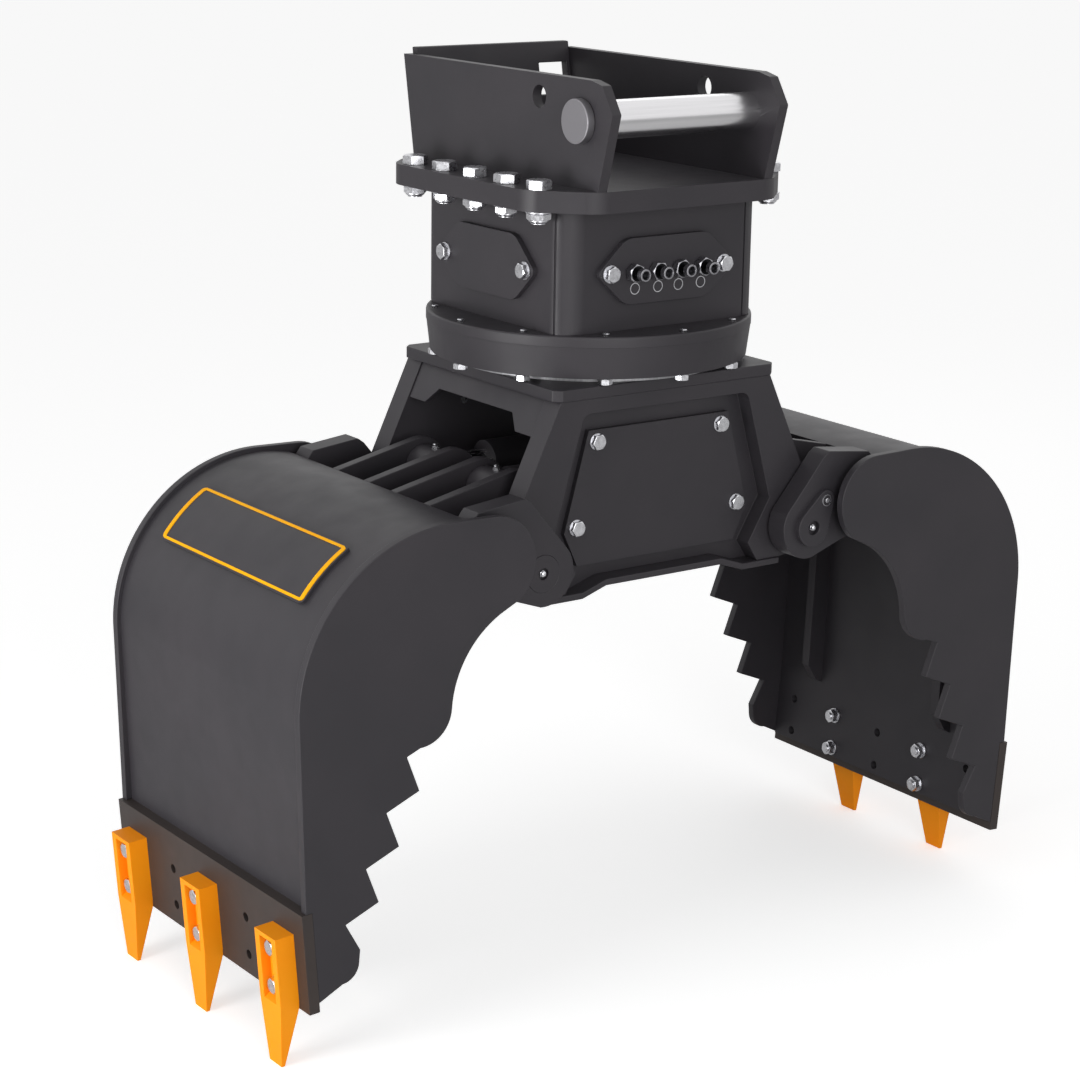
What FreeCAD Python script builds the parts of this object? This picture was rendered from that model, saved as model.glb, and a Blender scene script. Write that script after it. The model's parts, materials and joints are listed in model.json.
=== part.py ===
# Sorting grapple: a slewing head over two hydraulic jaws, built in millimetres with +Z up.
# The frame's origin is under the slewing axis at the level of the tooth tips.
# X runs along the opening direction of the jaws and Y across them.
import FreeCAD, Part
import math
import os
import Sketcher

doc = FreeCAD.newDocument("sorting_grapple")
sheet = doc.addObject("Spreadsheet::Sheet", "Sizes")
Vector = FreeCAD.Vector
Placement = FreeCAD.Placement
Rotation = FreeCAD.Rotation

# Driving lengths, one cell each
SIZES = {
    # Hinges
    "pivot_x": 226.8,
    "pivot_z": 594.6,
    "pin_r": 25.0,
    "pin_tail": 2.0,
    "running_gap": 0.05,
    "bush_wall": 6.0,
    "bush_flange_r": 37.0,
    "side_play": 0.4,
    # Widths, from the outside of the jaws inwards
    "jaw_half_y": 250.0,
    "jaw_side_thick": 12.0,
    "lug_inset": 17.0,
    "lug_thick": 34.0,
    "cheek_gap": 4.0,
    "cheek_thick": 25.0,
    "floor_thick": 10.0,
    "top_proud": 2.0,
    "belly_proud": 3.0,
    # Lower frame
    "top_half": 185.0,
    "top_low": 808.0,
    "top_thick": 16.0,
    "top_corner": 10.0,
    "shoulder_x": 176.0,
    "boss_r": 46.0,
    "boss_top_out": 36.7,
    "boss_top_up": 27.2,
    "boss_low_out": 5.2,
    "boss_low_down": 44.6,
    "window_drop": 20.0,
    "window_top_x": 128.0,
    "window_corner_x": 141.0,
    "window_corner_drop": 12.0,
    "window_corner_r": 15.0,
    "window_knee_in": 44.2,
    "window_knee_up": 39.4,
    "window_throat_in": 79.8,
    "window_throat_down": 20.6,
    "window_foot_in": 62.8,
    "belly_thick": 9.0,
    "belly_short": 24.8,
    "belly_end_down": 56.6,
    "belly_rise": 13.0,
    "belly_bend_out": 137.0,
    "belly_bend_in": 98.0,
    "end_inset": 2.0,
    "end_thick": 11.0,
    "end_high": 50.0,
    "notch_deep": 21.0,
    "notch_wide": 110.0,
    "notch_narrow": 88.0,
    "cover_thick": 8.0,
    "cover_drop": 47.0,
    "cover_top_x": 118.0,
    "cover_wide_x": 155.0,
    "cover_wide_up": 30.4,
    "cover_low_x": 133.0,
    "cover_low_down": 16.6,
    "cover_bolt_top_x": 104.5,
    "cover_bolt_top_drop": 16.0,
    "cover_bolt_low_x": 135.8,
    "cover_bolt_low_up": 6.3,
    "m12_r": 6.0,
    "m12_flats": 19.0,
    "m12_head": 8.0,
    "m12_washer_r": 12.0,
    "m12_washer": 2.5,
    # Slewing ring
    "ring_gap": 9.0,
    "ring_high": 42.0,
    "ring_low_r": 218.0,
    "ring_top_r": 223.0,
    "race_r": 190.0,
    "race_step": 7.0,
    "race_step_up": 13.0,
    "race_gap": 0.4,
    "flange_thick": 15.0,
    "flange_proud": 0.5,
    "gear_module": 5.0,
    "gear_addendum": 4.2,
    "pinion_addendum": 4.5,
    "gear_dedendum": 5.5,
    "pinion_clear": 4.0,
    "pinion_drop": 5.0,
    "shaft_r": 12.0,
    "shaft_rise": 15.0,
    "shaft_gap": 2.0,
    "motor_r": 36.0,
    "motor_high": 110.0,
    "ring_screw_inset": 7.0,
    "ring_screw_r": 5.0,
    "ring_screw_flats": 17.0,
    "ring_screw_head": 8.0,
    "ring_screw_rise": 3.0,
    "union_r": 50.0,
    "union_clear": 0.5,
    "union_flange_thick": 8.0,
    "union_hang": 8.0,
    "union_rise": 70.0,
    "union_sleeve_wall": 14.0,
    "union_sleeve_high": 60.0,
    # Head
    "head_half": 165.0,
    "head_cut_a": 16.0,
    "head_cut_b": 25.0,
    "head_wall": 12.0,
    "head_high": 163.5,
    "hatch_thick": 8.0,
    "hatch_point": 115.0,
    "hatch_flat": 67.5,
    "hatch_up": 78.0,
    "hatch_half_low": 43.5,
    "hatch_half_high": 44.5,
    "hatch_bolt": 94.0,
    "port_pitch": 38.0,
    "port_drop": 1.0,
    "port_hex": 22.0,
    "port_hex_long": 12.0,
    "port_tube_r": 8.0,
    "port_tube_long": 14.0,
    "port_bore_r": 5.0,
    "port_stem": 8.0,
    # Adapter bracket
    "plate_thick": 14.0,
    "plate_half": 212.0,
    "plate_front_cut": 68.0,
    "plate_rear_cut": 46.0,
    "bolt_inset": 22.0,
    "bolt_pitch": 73.0,
    "bolt_r": 10.0,
    "bolt_hole_r": 10.5,
    "bolt_flats": 30.0,
    "bolt_head": 12.5,
    "bolt_tip": 6.0,
    "nut_flange_r": 17.0,
    "nut_flange": 3.5,
    "nut_flats": 28.0,
    "nut_high": 11.0,
    "ear_inner": 129.5,
    "ear_thick": 14.0,
    "ear_high": 139.5,
    "ear_rear_y": 248.0,
    "ear_foot_rear": 222.0,
    "ear_foot_front": 210.0,
    "ear_nose_y": 237.0,
    "ear_nose_drop": 40.0,
    "ear_brow_y": 214.0,
    "ear_brow_drop": 5.0,
    "ear_front_y": 191.0,
    "ear_hole_y": 78.0,
    "ear_hole_drop": 30.0,
    "ear_hole_r": 15.0,
    "cross_rise": 8.0,
    "cross_thick": 12.0,
    "cross_rear_y": 249.0,
    "slot_near": 75.0,
    "slot_far": 122.0,
    "slot_drop": 21.0,
    "slot_long": 45.0,
    "carrier_y": 172.0,
    "carrier_drop": 53.0,
    "carrier_r": 25.0,
    "carrier_cap_r": 29.0,
    "carrier_cap": 12.0,
    # Jaw plates
    "jaw_out": 163.2,
    "jaw_down": 122.6,
    "side_proud": 6.0,
    "shell_r": 214.0,
    "shell_thick": 12.0,
    "shell_foot": 15.0,
    "lobe_top_out": 96.7,
    "lobe_top_up": 95.9,
    "lobe_r": 64.5,
    "lobe_low_out": 54.2,
    "lobe_low_down": 17.6,
    "throat_top_out": 79.2,
    "throat_top_down": 29.6,
    "throat_r": 139.0,
    "throat_low_out": 159.2,
    "throat_low_down": 145.6,
    "neck_r": 47.0,
    "saw_out": 226.6,
    "saw_down": 198.5,
    "saw_step_x": 30.3,
    "saw_step_z": 68.7,
    "saw_back_x": 18.8,
    "saw_back_z": 48.5,
    "saw_lead_x": 20.0,
    "saw_lead_z": 8.0,
    "heel_top_in": 74.6,
    "heel_top_up": 72.0,
    "heel_in": 73.1,
    "heel_up": 54.5,
    "heel_r": 26.0,
    "toe_in": 48.6,
    "toe_up": 30.5,
    "side_foot": 12.0,
    "lug_crown_out": 103.0,
    "lug_crown_up": 95.4,
    "lug_brow_out": 30.0,
    "lug_brow_up": 104.0,
    "lug_nose_out": 20.0,
    "lug_nose_up": 97.0,
    "lug_neck_in": 4.0,
    "lug_neck_up": 68.4,
    "lug_heel_in": 40.8,
    "lug_heel_up": 25.4,
    "lug_chin_out": 3.0,
    "lug_chin_down": 45.0,
    "lug_root_out": 58.0,
    "lug_root_down": 25.6,
    "root_past": 2.0,
    "root_up": 5.0,
    "rib_inner_y": 34.0,
    "rib_outer_y": 114.0,
    "rib_thick": 16.0,
    "rib_horn_r": 37.0,
    "rib_tail_up": 2.0,
    "rib_chin_out": 73.0,
    "rib_chin_down": 33.0,
    "stiff_inset": 90.0,
    "stiff_thick": 16.0,
    "stiff_deep": 30.0,
    "stiff_foot_in": 12.0,
    "stiff_foot_low": 10.0,
    "stiff_foot_mid": 4.0,
    "stiff_foot_top": 20.0,
    "keeper_thick": 8.0,
    "keeper_bolt_out": 20.9,
    "keeper_bolt_up": 37.0,
    "flag_top_near": 8.0,
    "flag_top_far": 29.0,
    "flag_top_up": 51.0,
    "flag_side_out": 36.0,
    "flag_side_up": 31.0,
    "flag_low_out": 1.0,
    "flag_low_down": 17.0,
    "flag_end_in": 20.0,
    "flag_end_down": 19.0,
    "flag_back_in": 30.0,
    "flag_back_up": 7.0,
    "flag_drop": 2.0,
    "nipple_r": 3.5,
    "nipple_high": 4.0,
    "nipple_well_r": 8.0,
    "nipple_well": 5.0,
    # Cutting plate and teeth, in the leaning frame of the plate
    "edge_tuck": 6.4,
    "edge_down": 514.6,
    "edge_thick": 15.0,
    "edge_high": 136.4,
    "edge_proud": 6.0,
    "tooth_margin": 51.5,
    "hole_low": 29.1,
    "hole_high": 82.3,
    "hole_r": 6.5,
    "tooth_wide": 52.0,
    "tooth_thick": 27.0,
    "tooth_high": 103.3,
    "tooth_reach": 78.1,
    "tooth_tip_wide": 30.0,
    "tooth_tip_thick": 5.0,
    "tooth_shoulder": 10.0,
    "tooth_well_wide": 30.0,
    "tooth_well_deep": 13.0,
    "tooth_well_low": 17.5,
    "tooth_well_high": 97.0,
    "tooth_well_bevel": 8.0,
    "tooth_nut": 10.0,
    "tooth_bolt_tip": 3.0,
    # Cylinders and link
    "horn_in": 24.8,
    "horn_up": 77.6,
    "horn_pin_r": 15.0,
    "eye_r": 28.0,
    "eye_gap": 1.5,
    "barrel_r": 29.5,
    "barrel_bore_r": 24.0,
    "barrel_bottom_in": 52.0,
    "barrel_end_in": 82.0,
    "gland_long": 16.0,
    "rod_r": 18.0,
    "piston_long": 25.0,
    "piston_in": 72.0,
    "link_high_out": 54.1,
    "link_high_up": 31.2,
    "link_low_in": 39.4,
    "link_low_down": 21.7,
    "link_pin_r": 11.0,
    "link_eye_r": 19.0,
    "link_boss_r": 22.0,
    "link_half_y": 14.0,
    "link_gap": 1.0,
    "link_half_z": 13.0,
    "link_swim": 1.2,
}
LEAN = 4.5
RING_SCREWS = 12
GEAR_TEETH = 60
PINION_TEETH = 14
SHELL_START = 104.0
RIB_END = 75.0

# Places and levels worked out from the driving lengths, one cell each
WORKED_OUT = {
    # Widths
    "side_in": "jaw_half_y - jaw_side_thick",
    "lug_out": "side_in - lug_inset",
    "lug_y": "lug_out - lug_thick",
    "cheek_y": "lug_y - cheek_gap",
    "floor_y": "cheek_y - cheek_thick",
    "floor_in": "floor_y - floor_thick",
    "cover_out": "floor_y + cover_thick",
    "pin_inner_y": "floor_in - pin_tail",
    "top_half_y": "cheek_y + top_proud",
    "belly_half_y": "cheek_y + belly_proud",
    "stiff_y": "side_in - stiff_inset",
    "tooth_pitch": "(jaw_half_y - tooth_margin) / 2",
    "cylinder_y": "(rib_inner_y + rib_outer_y) / 2",
    "eye_half": "(rib_outer_y - rib_inner_y - rib_thick) / 2 - eye_gap",
    "link_eye_half": "rib_inner_y - rib_thick / 2 - link_gap",
    # Lower frame
    "top_high": "top_low + top_thick",
    "boss_top_x": "pivot_x + boss_top_out",
    "boss_top_z": "pivot_z + boss_top_up",
    "boss_low_x": "pivot_x + boss_low_out",
    "boss_low_z": "pivot_z - boss_low_down",
    "window_top": "top_low - window_drop",
    "window_corner_z": "window_top - window_corner_drop",
    "window_knee_x": "pivot_x - window_knee_in",
    "window_knee_z": "pivot_z + window_knee_up",
    "window_throat_x": "pivot_x - window_throat_in",
    "window_throat_z": "pivot_z - window_throat_down",
    "window_foot_x": "pivot_x - window_foot_in",
    "belly_half_x": "pivot_x - belly_short",
    "belly_end_low": "pivot_z - belly_end_down",
    "belly_end_top": "belly_end_low + belly_thick",
    "belly_mid_low": "belly_end_low + belly_rise",
    "belly_mid_top": "belly_mid_low + belly_thick",
    "end_low": "top_low - end_high",
    "end_run": "(boss_top_x - shoulder_x) / (top_low - boss_top_z) * end_high",
    "notch_high": "end_low + notch_deep",
    "cover_top": "top_low - cover_drop",
    "cover_wide_z": "pivot_z + cover_wide_up",
    "cover_low": "pivot_z - cover_low_down",
    "cover_bolt_top_z": "cover_top - cover_bolt_top_drop",
    "cover_bolt_low_z": "cover_wide_z + cover_bolt_low_up",
    # Slewing ring
    "ring_low": "top_high + ring_gap",
    "ring_top": "ring_low + ring_high",
    "flange_top": "ring_top + flange_thick",
    "flange_r": "ring_top_r + flange_proud",
    "race_step_r": "race_r + race_step",
    "race_step_z": "ring_low + race_step_up",
    "ring_screw_circle_r": "ring_low_r - ring_screw_inset",
    "gear_tip_r": "gear_module * 60 / 2 - gear_addendum",
    "gear_root_r": "gear_module * 60 / 2 + gear_dedendum",
    "gear_space_tip": "gear_module * 1.18",
    "gear_space_root": "gear_module * 0.48",
    "pinion_x": "gear_module * (60 - 14) / 2",
    "pinion_tip_r": "gear_module * 14 / 2 + pinion_addendum",
    "pinion_root_r": "gear_module * 14 / 2 - gear_dedendum",
    "pinion_tooth_tip": "gear_module * 0.36",
    "pinion_tooth_root": "gear_module * 0.92",
    "pinion_low": "top_high + pinion_clear",
    "pinion_top": "ring_top - pinion_drop",
    "shaft_top": "flange_top + shaft_rise",
    "shaft_hole_r": "shaft_r + shaft_gap",
    "motor_top": "flange_top + motor_high",
    "union_flange_r": "pinion_x - pinion_tip_r - union_clear",
    "union_low": "top_low - union_hang",
    "union_top": "flange_top + union_rise",
    "union_sleeve_top": "flange_top + union_sleeve_high",
    # Head
    "head_top": "flange_top + head_high",
    "head_flat_a": "head_half - head_cut_a",
    "head_flat_b": "head_half - head_cut_b",
    "hatch_mid": "flange_top + hatch_up",
    "hatch_low": "hatch_mid - hatch_half_low",
    "hatch_high": "hatch_mid + hatch_half_high",
    "port_z": "hatch_mid - port_drop",
    # Adapter bracket
    "plate_high": "head_top + plate_thick",
    "bracket_high": "plate_high + plate_thick",
    "bolt_x": "plate_half - bolt_inset",
    "ear_top": "bracket_high + ear_high",
    "ear_nose_z": "ear_top - ear_nose_drop",
    "ear_brow_z": "ear_top - ear_brow_drop",
    "ear_hole_z": "ear_top - ear_hole_drop",
    "cross_top": "ear_top + cross_rise",
    "slot_high": "ear_top - slot_drop",
    "slot_low": "slot_high - slot_long",
    "carrier_z": "ear_top - carrier_drop",
    # Jaws
    "jaw_x": "pivot_x + jaw_out",
    "jaw_z": "pivot_z - jaw_down",
    "jaw_side_r": "shell_r + side_proud",
    "edge_x": "jaw_x + shell_r - edge_tuck",
    "edge_z": "pivot_z - edge_down",
    "lobe_top_x": "pivot_x + lobe_top_out",
    "lobe_top_z": "pivot_z + lobe_top_up",
    "lobe_low_x": "pivot_x + lobe_low_out",
    "lobe_low_z": "pivot_z - lobe_low_down",
    "throat_top_x": "pivot_x + throat_top_out",
    "throat_top_z": "pivot_z - throat_top_down",
    "throat_low_x": "pivot_x + throat_low_out",
    "throat_low_z": "pivot_z - throat_low_down",
    "saw_x": "pivot_x + saw_out",
    "saw_z": "pivot_z - saw_down",
    "heel_top_x": "edge_x - heel_top_in",
    "heel_top_z": "edge_z + heel_top_up",
    "heel_x": "edge_x - heel_in",
    "heel_z": "edge_z + heel_up",
    "toe_x": "edge_x - toe_in",
    "toe_z": "edge_z + toe_up",
    "keeper_bolt_x": "pivot_x + keeper_bolt_out",
    "keeper_bolt_z": "pivot_z + keeper_bolt_up",
    # Cylinders and link
    "horn_x": "pivot_x - horn_in",
    "horn_z": "pivot_z + horn_up",
    "barrel_bottom_x": "horn_x - barrel_bottom_in",
    "barrel_end_x": "horn_x - barrel_end_in",
    "piston_x": "horn_x - piston_in",
    "link_high_x": "pivot_x + link_high_out",
    "link_high_z": "pivot_z + link_high_up",
    "link_low_x": "pivot_x - link_low_in",
    "link_low_z": "pivot_z - link_low_down",
}


class Size:
    """A length with the sheet expression that it comes from."""

    def __init__(self, value, text):
        self.value = value
        self.text = text

    def __add__(self, other):
        other = as_size(other)
        return Size(self.value + other.value, "(%s + %s)" % (self.text, other.text))

    def __sub__(self, other):
        other = as_size(other)
        return Size(self.value - other.value, "(%s - %s)" % (self.text, other.text))

    def __mul__(self, factor):
        return Size(self.value * factor, "(%s * %.8f)" % (self.text, factor))

    def __neg__(self):
        return self * -1.0

    __radd__ = __add__
    __rmul__ = __mul__


def as_size(item):
    if isinstance(item, Size):
        return item
    return Size(float(item), "%.6f" % item)


# Fill the sheet: names in column A, numbers and formulas in column B
for row, (name, number) in enumerate(SIZES.items(), 1):
    sheet.set("A%d" % row, name)
    sheet.set("B%d" % row, str(number))
    sheet.setAlias("B%d" % row, name)
for row, (name, formula) in enumerate(WORKED_OUT.items(), len(SIZES) + 1):
    sheet.set("A%d" % row, name)
    sheet.set("B%d" % row, "=" + formula)
    sheet.setAlias("B%d" % row, name)
doc.recompute()
S = {name: Size(float(sheet.get(name)), "Sizes." + name) for name in [*SIZES, *WORKED_OUT]}
made = []


# Sketch helpers
def plane_of(body, role):
    for item in body.Origin.OriginFeatures:
        if item.Role == role:
            return item
    raise RuntimeError("no plane " + role)


def new_body(label):
    body = doc.addObject("PartDesign::Body", label)
    body.Label = label
    made.append(body)
    return body


def new_sketch(body, role, offset, tilt=0.0, base=None):
    sketch = body.newObject("Sketcher::SketchObject", body.Name + "_sketch")
    sketch.AttachmentSupport = [(plane_of(body, role), "")]
    sketch.MapMode = "FlatFace"
    offset = as_size(offset)
    start = Vector(0, 0, offset.value)
    if base is not None:
        start.y = base.value
    sketch.AttachmentOffset = Placement(start, Rotation(Vector(1, 0, 0), tilt))
    sketch.setExpression("AttachmentOffset.Base.z", offset.text)
    if base is not None:
        sketch.setExpression("AttachmentOffset.Base.y", base.text)
    return sketch


def bind(sketch, kind, *parts):
    size = parts[-1]
    index = sketch.addConstraint(Sketcher.Constraint(kind, *parts[:-1], size.value))
    sketch.setExpression("Constraints[%d]" % index, size.text)


def bind_point(sketch, edge, point, place):
    bind(sketch, "DistanceX", -1, 1, edge, point, as_size(place[0]))
    bind(sketch, "DistanceY", -1, 1, edge, point, as_size(place[1]))


def arc_between(a, b, radius, turn):
    """Arc of the given radius from a to b; turn is +1 for counter-clockwise."""
    mid = Vector((a.x + b.x) / 2, (a.y + b.y) / 2, 0)
    chord = b.sub(a)
    half = chord.Length / 2
    rise = math.sqrt(max(radius * radius - half * half, 0.0))
    normal = Vector(-chord.y, chord.x, 0).normalize()
    centre = mid + normal * (rise * turn)
    start = math.atan2(a.y - centre.y, a.x - centre.x)
    stop = math.atan2(b.y - centre.y, b.x - centre.x)
    circle = Part.Circle(centre, Vector(0, 0, 1), radius)
    if turn > 0:
        return Part.ArcOfCircle(circle, start, stop)
    return Part.ArcOfCircle(circle, stop, start)


def draw_loop(sketch, points):
    """Closed outline. A point is (x, y), or (x, y, radius, turn) where an arc leads to it."""
    count = len(points)
    flat = [Vector(as_size(p[0]).value, as_size(p[1]).value, 0) for p in points]
    ends = []
    for i in range(count):
        target = points[(i + 1) % count]
        a = flat[i]
        b = flat[(i + 1) % count]
        if len(target) == 2:
            edge = sketch.addGeometry(Part.LineSegment(a, b), False)
            ends.append((edge, 1, 2))
            continue
        radius = as_size(target[2])
        edge = sketch.addGeometry(arc_between(a, b, radius.value, target[3]), False)
        if target[3] > 0:
            ends.append((edge, 1, 2))
        else:
            ends.append((edge, 2, 1))
        bind(sketch, "Radius", edge, radius)
    for i in range(count):
        edge, first, last = ends[i]
        follow = ends[(i + 1) % count]
        sketch.addConstraint(Sketcher.Constraint("Coincident", edge, last, follow[0], follow[1]))
    for i in range(count):
        bind_point(sketch, ends[i][0], ends[i][1], points[i])


def draw_circle(sketch, x, y, radius):
    x, y, radius = as_size(x), as_size(y), as_size(radius)
    circle = Part.Circle(Vector(x.value, y.value, 0), Vector(0, 0, 1), radius.value)
    edge = sketch.addGeometry(circle, False)
    bind(sketch, "Radius", edge, radius)
    bind_point(sketch, edge, 3, (x, y))


def draw(sketch, shapes):
    for shape in shapes:
        if isinstance(shape, list):
            draw_loop(sketch, shape)
        else:
            draw_circle(sketch, *shape)


def set_length(feature, length):
    length = as_size(length)
    feature.Length = length.value
    feature.setExpression("Length", length.text)


def slab(body, role, shapes, low, high):
    """Pad between two levels of the axis that the plane faces."""
    low, high = as_size(low), as_size(high)
    level = -high if role == "XZ_Plane" else low
    sketch = new_sketch(body, role, level)
    draw(sketch, shapes)
    pad = body.newObject("PartDesign::Pad", body.Name + "_pad")
    pad.Profile = sketch
    set_length(pad, high - low)
    body.Tip = pad
    return pad


def cut(body, role, shapes, low, high):
    """Pocket between two levels of the axis that the plane faces."""
    low, high = as_size(low), as_size(high)
    level = -low if role == "XZ_Plane" else high
    sketch = new_sketch(body, role, level)
    draw(sketch, shapes)
    pocket = body.newObject("PartDesign::Pocket", body.Name + "_pocket")
    pocket.Profile = sketch
    set_length(pocket, high - low)
    body.Tip = pocket
    return pocket


def turned(body, points):
    """Revolve an outline of (radius, height) points about the Z axis."""
    sketch = new_sketch(body, "XZ_Plane", 0)
    draw_loop(sketch, points)
    spin = body.newObject("PartDesign::Revolution", body.Name + "_turned")
    spin.Profile = sketch
    spin.ReferenceAxis = (sketch, ["V_Axis"])
    spin.Angle = 360
    body.Tip = spin
    return spin


def around(body, feature, count):
    pattern = body.newObject("PartDesign::PolarPattern", body.Name + "_pattern")
    pattern.Originals = [feature]
    pattern.Axis = (feature.Profile[0], ["N_Axis"])
    pattern.Angle = 360
    pattern.Occurrences = count
    body.Tip = pattern
    return pattern


# Fastener helpers
def primitive(kind, radius, places, direction, start, stop):
    """Cylinder, or prism across flats, along a direction between two distances."""
    radius, start, stop = as_size(radius), as_size(start), as_size(stop)
    if kind == "hex":
        item = doc.addObject("Part::Prism", "hexagon")
        item.Polygon = 6
        item.setExpression("Circumradius", (radius * (1 / math.sqrt(3))).text)
        item.Circumradius = radius.value / math.sqrt(3)
    else:
        item = doc.addObject("Part::Cylinder", "round")
        item.setExpression("Radius", radius.text)
        item.Radius = radius.value
    item.setExpression("Height", (stop - start).text)
    item.Height = stop.value - start.value
    base = [as_size(p) + start * d for p, d in zip(places, direction)]
    turn = Rotation(Vector(0, 0, 1), Vector(*direction))
    item.Placement = Placement(Vector(*[b.value for b in base]), turn)
    for axis, level in zip("xyz", base):
        item.setExpression("Placement.Base." + axis, level.text)
    return item


def fastener(place, direction, segments, bore=None):
    """One fastener: (kind, size, start, stop) segments along its axis, with an optional bore."""
    parts = [primitive(s[0], s[1], place, direction, s[2], s[3]) for s in segments]
    solid = parts[0]
    if len(parts) > 1:
        solid = doc.addObject("Part::MultiFuse", "fused")
        solid.Shapes = parts
    if bore is not None:
        tool = primitive("round", bore[0], place, direction, bore[1], bore[2])
        drilled = doc.addObject("Part::Cut", "drilled")
        drilled.Base = solid
        drilled.Tool = tool
        solid = drilled
    return solid


def group(label, solids):
    item = doc.addObject("Part::Compound", label)
    item.Label = label
    item.Links = solids
    made.append(item)
    return item


def mirrored(points):
    """Half outline, given from one side of x = 0, continued on the other side."""
    other = []
    for i in range(len(points) - 1, -1, -1):
        follow = points[(i + 1) % len(points)] if i + 1 < len(points) else (0, 0)
        step = (-as_size(points[i][0]), points[i][1])
        if len(follow) == 4:
            step = step + (follow[2], follow[3])
        other.append(step)
    return points + other


# Lean of the cutting plates
lean_c = math.cos(math.radians(LEAN))
lean_s = math.sin(math.radians(LEAN))


def leaning(across, up):
    """World place of a point given in the leaning frame of the cutting plate."""
    across, up = as_size(across), as_size(up)
    x = S["edge_x"] + across * lean_c + up * lean_s
    z = S["edge_z"] + up * lean_c - across * lean_s
    return x, z


def polar(radius, angle):
    """Place on a circle about the centre of the jaw's rolled back."""
    turn = math.radians(angle)
    return S["jaw_x"] + radius * math.cos(turn), S["jaw_z"] + radius * math.sin(turn)


# Lower frame
def frame_top():
    body = new_body("frame_top_plate")
    x, y, corner = S["top_half"], S["top_half_y"], S["top_corner"]
    near_x, near_y = x - corner, y - corner
    outline = [(near_x, -y), (x, -near_y), (x, near_y), (near_x, y),
               (-near_x, y), (-x, near_y), (-x, -near_y), (-near_x, -y)]
    slab(body, "XY_Plane", [outline, (0, 0, S["union_r"])], S["top_low"], S["top_high"])


def frame_side(label, side):
    body = new_body(label)
    levels = [S["floor_in"], S["floor_y"], S["cheek_y"]]
    if side < 0:
        levels = [-S["cheek_y"], -S["floor_y"], -S["floor_in"]]
    outer = [(S["shoulder_x"], S["top_low"]), (S["boss_top_x"], S["boss_top_z"]),
             (S["boss_low_x"], S["boss_low_z"], S["boss_r"], -1),
             (S["belly_half_x"], S["belly_end_top"])]
    floor = outer + [(S["belly_bend_out"], S["belly_end_top"]), (S["belly_bend_in"], S["belly_mid_top"])]
    arch = outer + [(S["window_foot_x"], S["belly_end_top"]),
                    (S["window_throat_x"], S["window_throat_z"]),
                    (S["window_knee_x"], S["window_knee_z"]),
                    (S["window_corner_x"], S["window_corner_z"]),
                    (S["window_top_x"], S["window_top"], S["window_corner_r"], 1)]
    plates = [floor, arch] if side > 0 else [arch, floor]
    for points, low, high in zip(plates, levels[:2], levels[1:]):
        slab(body, "XZ_Plane", [mirrored(points)], low, high)
    bush_r = S["pin_r"] + S["bush_wall"]
    holes = [(S["pivot_x"], S["pivot_z"], bush_r), (-S["pivot_x"], S["pivot_z"], bush_r)]
    cut(body, "XZ_Plane", holes, levels[0], levels[2])
    screws = [(x, z, S["m12_r"]) for x, z in cover_places()]
    cut(body, "XZ_Plane", screws, levels[0], levels[2])


def cover_places():
    high = (S["cover_bolt_top_x"], S["cover_bolt_top_z"])
    low = (S["cover_bolt_low_x"], S["cover_bolt_low_z"])
    return [high, low, (-low[0], low[1]), (-high[0], high[1])]


def frame_cover(label, side):
    body = new_body(label)
    half = [(S["cover_top_x"], S["cover_top"]), (S["cover_wide_x"], S["cover_wide_z"]),
            (S["cover_low_x"], S["cover_low"])]
    screws = [(x, z, S["m12_r"]) for x, z in cover_places()]
    low, high = (S["floor_y"], S["cover_out"]) if side > 0 else (-S["cover_out"], -S["floor_y"])
    slab(body, "XZ_Plane", [mirrored(half)] + screws, low, high)


def frame_cover_bolts():
    bolts = []
    for side in (-1, 1):
        for x, z in cover_places():
            segments = [("hex", S["m12_flats"], 0, S["m12_head"]),
                        ("round", S["m12_r"], -(S["cover_thick"] + S["floor_thick"]), 0)]
            bolts.append(fastener((x, S["cover_out"] * side, z), (0, side, 0), segments))
    group("frame_cover_bolts", bolts)


def frame_end(label, side):
    body = new_body(label)
    face = S["shoulder_x"] - S["end_inset"]
    low = S["end_low"]
    drop_x = face + S["end_run"]
    points = [(face * side, S["top_low"]), (drop_x * side, low),
              ((drop_x - S["end_thick"]) * side, low), ((face - S["end_thick"]) * side, S["top_low"])]
    slab(body, "XZ_Plane", [points], -S["floor_in"], S["floor_in"])
    wide, narrow = S["notch_wide"], S["notch_narrow"]
    notch = [(-wide, low - 1), (-narrow, S["notch_high"]), (narrow, S["notch_high"]), (wide, low - 1)]
    reach = drop_x + 10
    start, stop = (face - 20, reach) if side > 0 else (-reach, -(face - 20))
    cut(body, "YZ_Plane", [notch], start, stop)


def frame_belly():
    body = new_body("frame_bottom_plate")
    half = [(S["belly_bend_in"], S["belly_mid_top"]), (S["belly_bend_out"], S["belly_end_top"]),
            (S["belly_half_x"], S["belly_end_top"]), (S["belly_half_x"], S["belly_end_low"]),
            (S["belly_bend_out"], S["belly_end_low"]), (S["belly_bend_in"], S["belly_mid_low"])]
    slab(body, "XZ_Plane", [mirrored(half)], -S["belly_half_y"], S["belly_half_y"])


def frame_bushes():
    solids = []
    inner = S["pin_r"] + S["running_gap"]
    outer = S["pin_r"] + S["bush_wall"]
    lip = S["lug_y"] - S["side_play"]
    for side in (-1, 1):
        for turn in (-1, 1):
            segments = [("round", outer, S["floor_in"], S["cheek_y"]),
                        ("round", S["bush_flange_r"], S["cheek_y"], lip)]
            place = (S["pivot_x"] * turn, 0, S["pivot_z"])
            solids.append(fastener(place, (0, side, 0), segments, (inner, S["floor_in"] - 1, lip + 1)))
    group("frame_hinge_bushes", solids)


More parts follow.
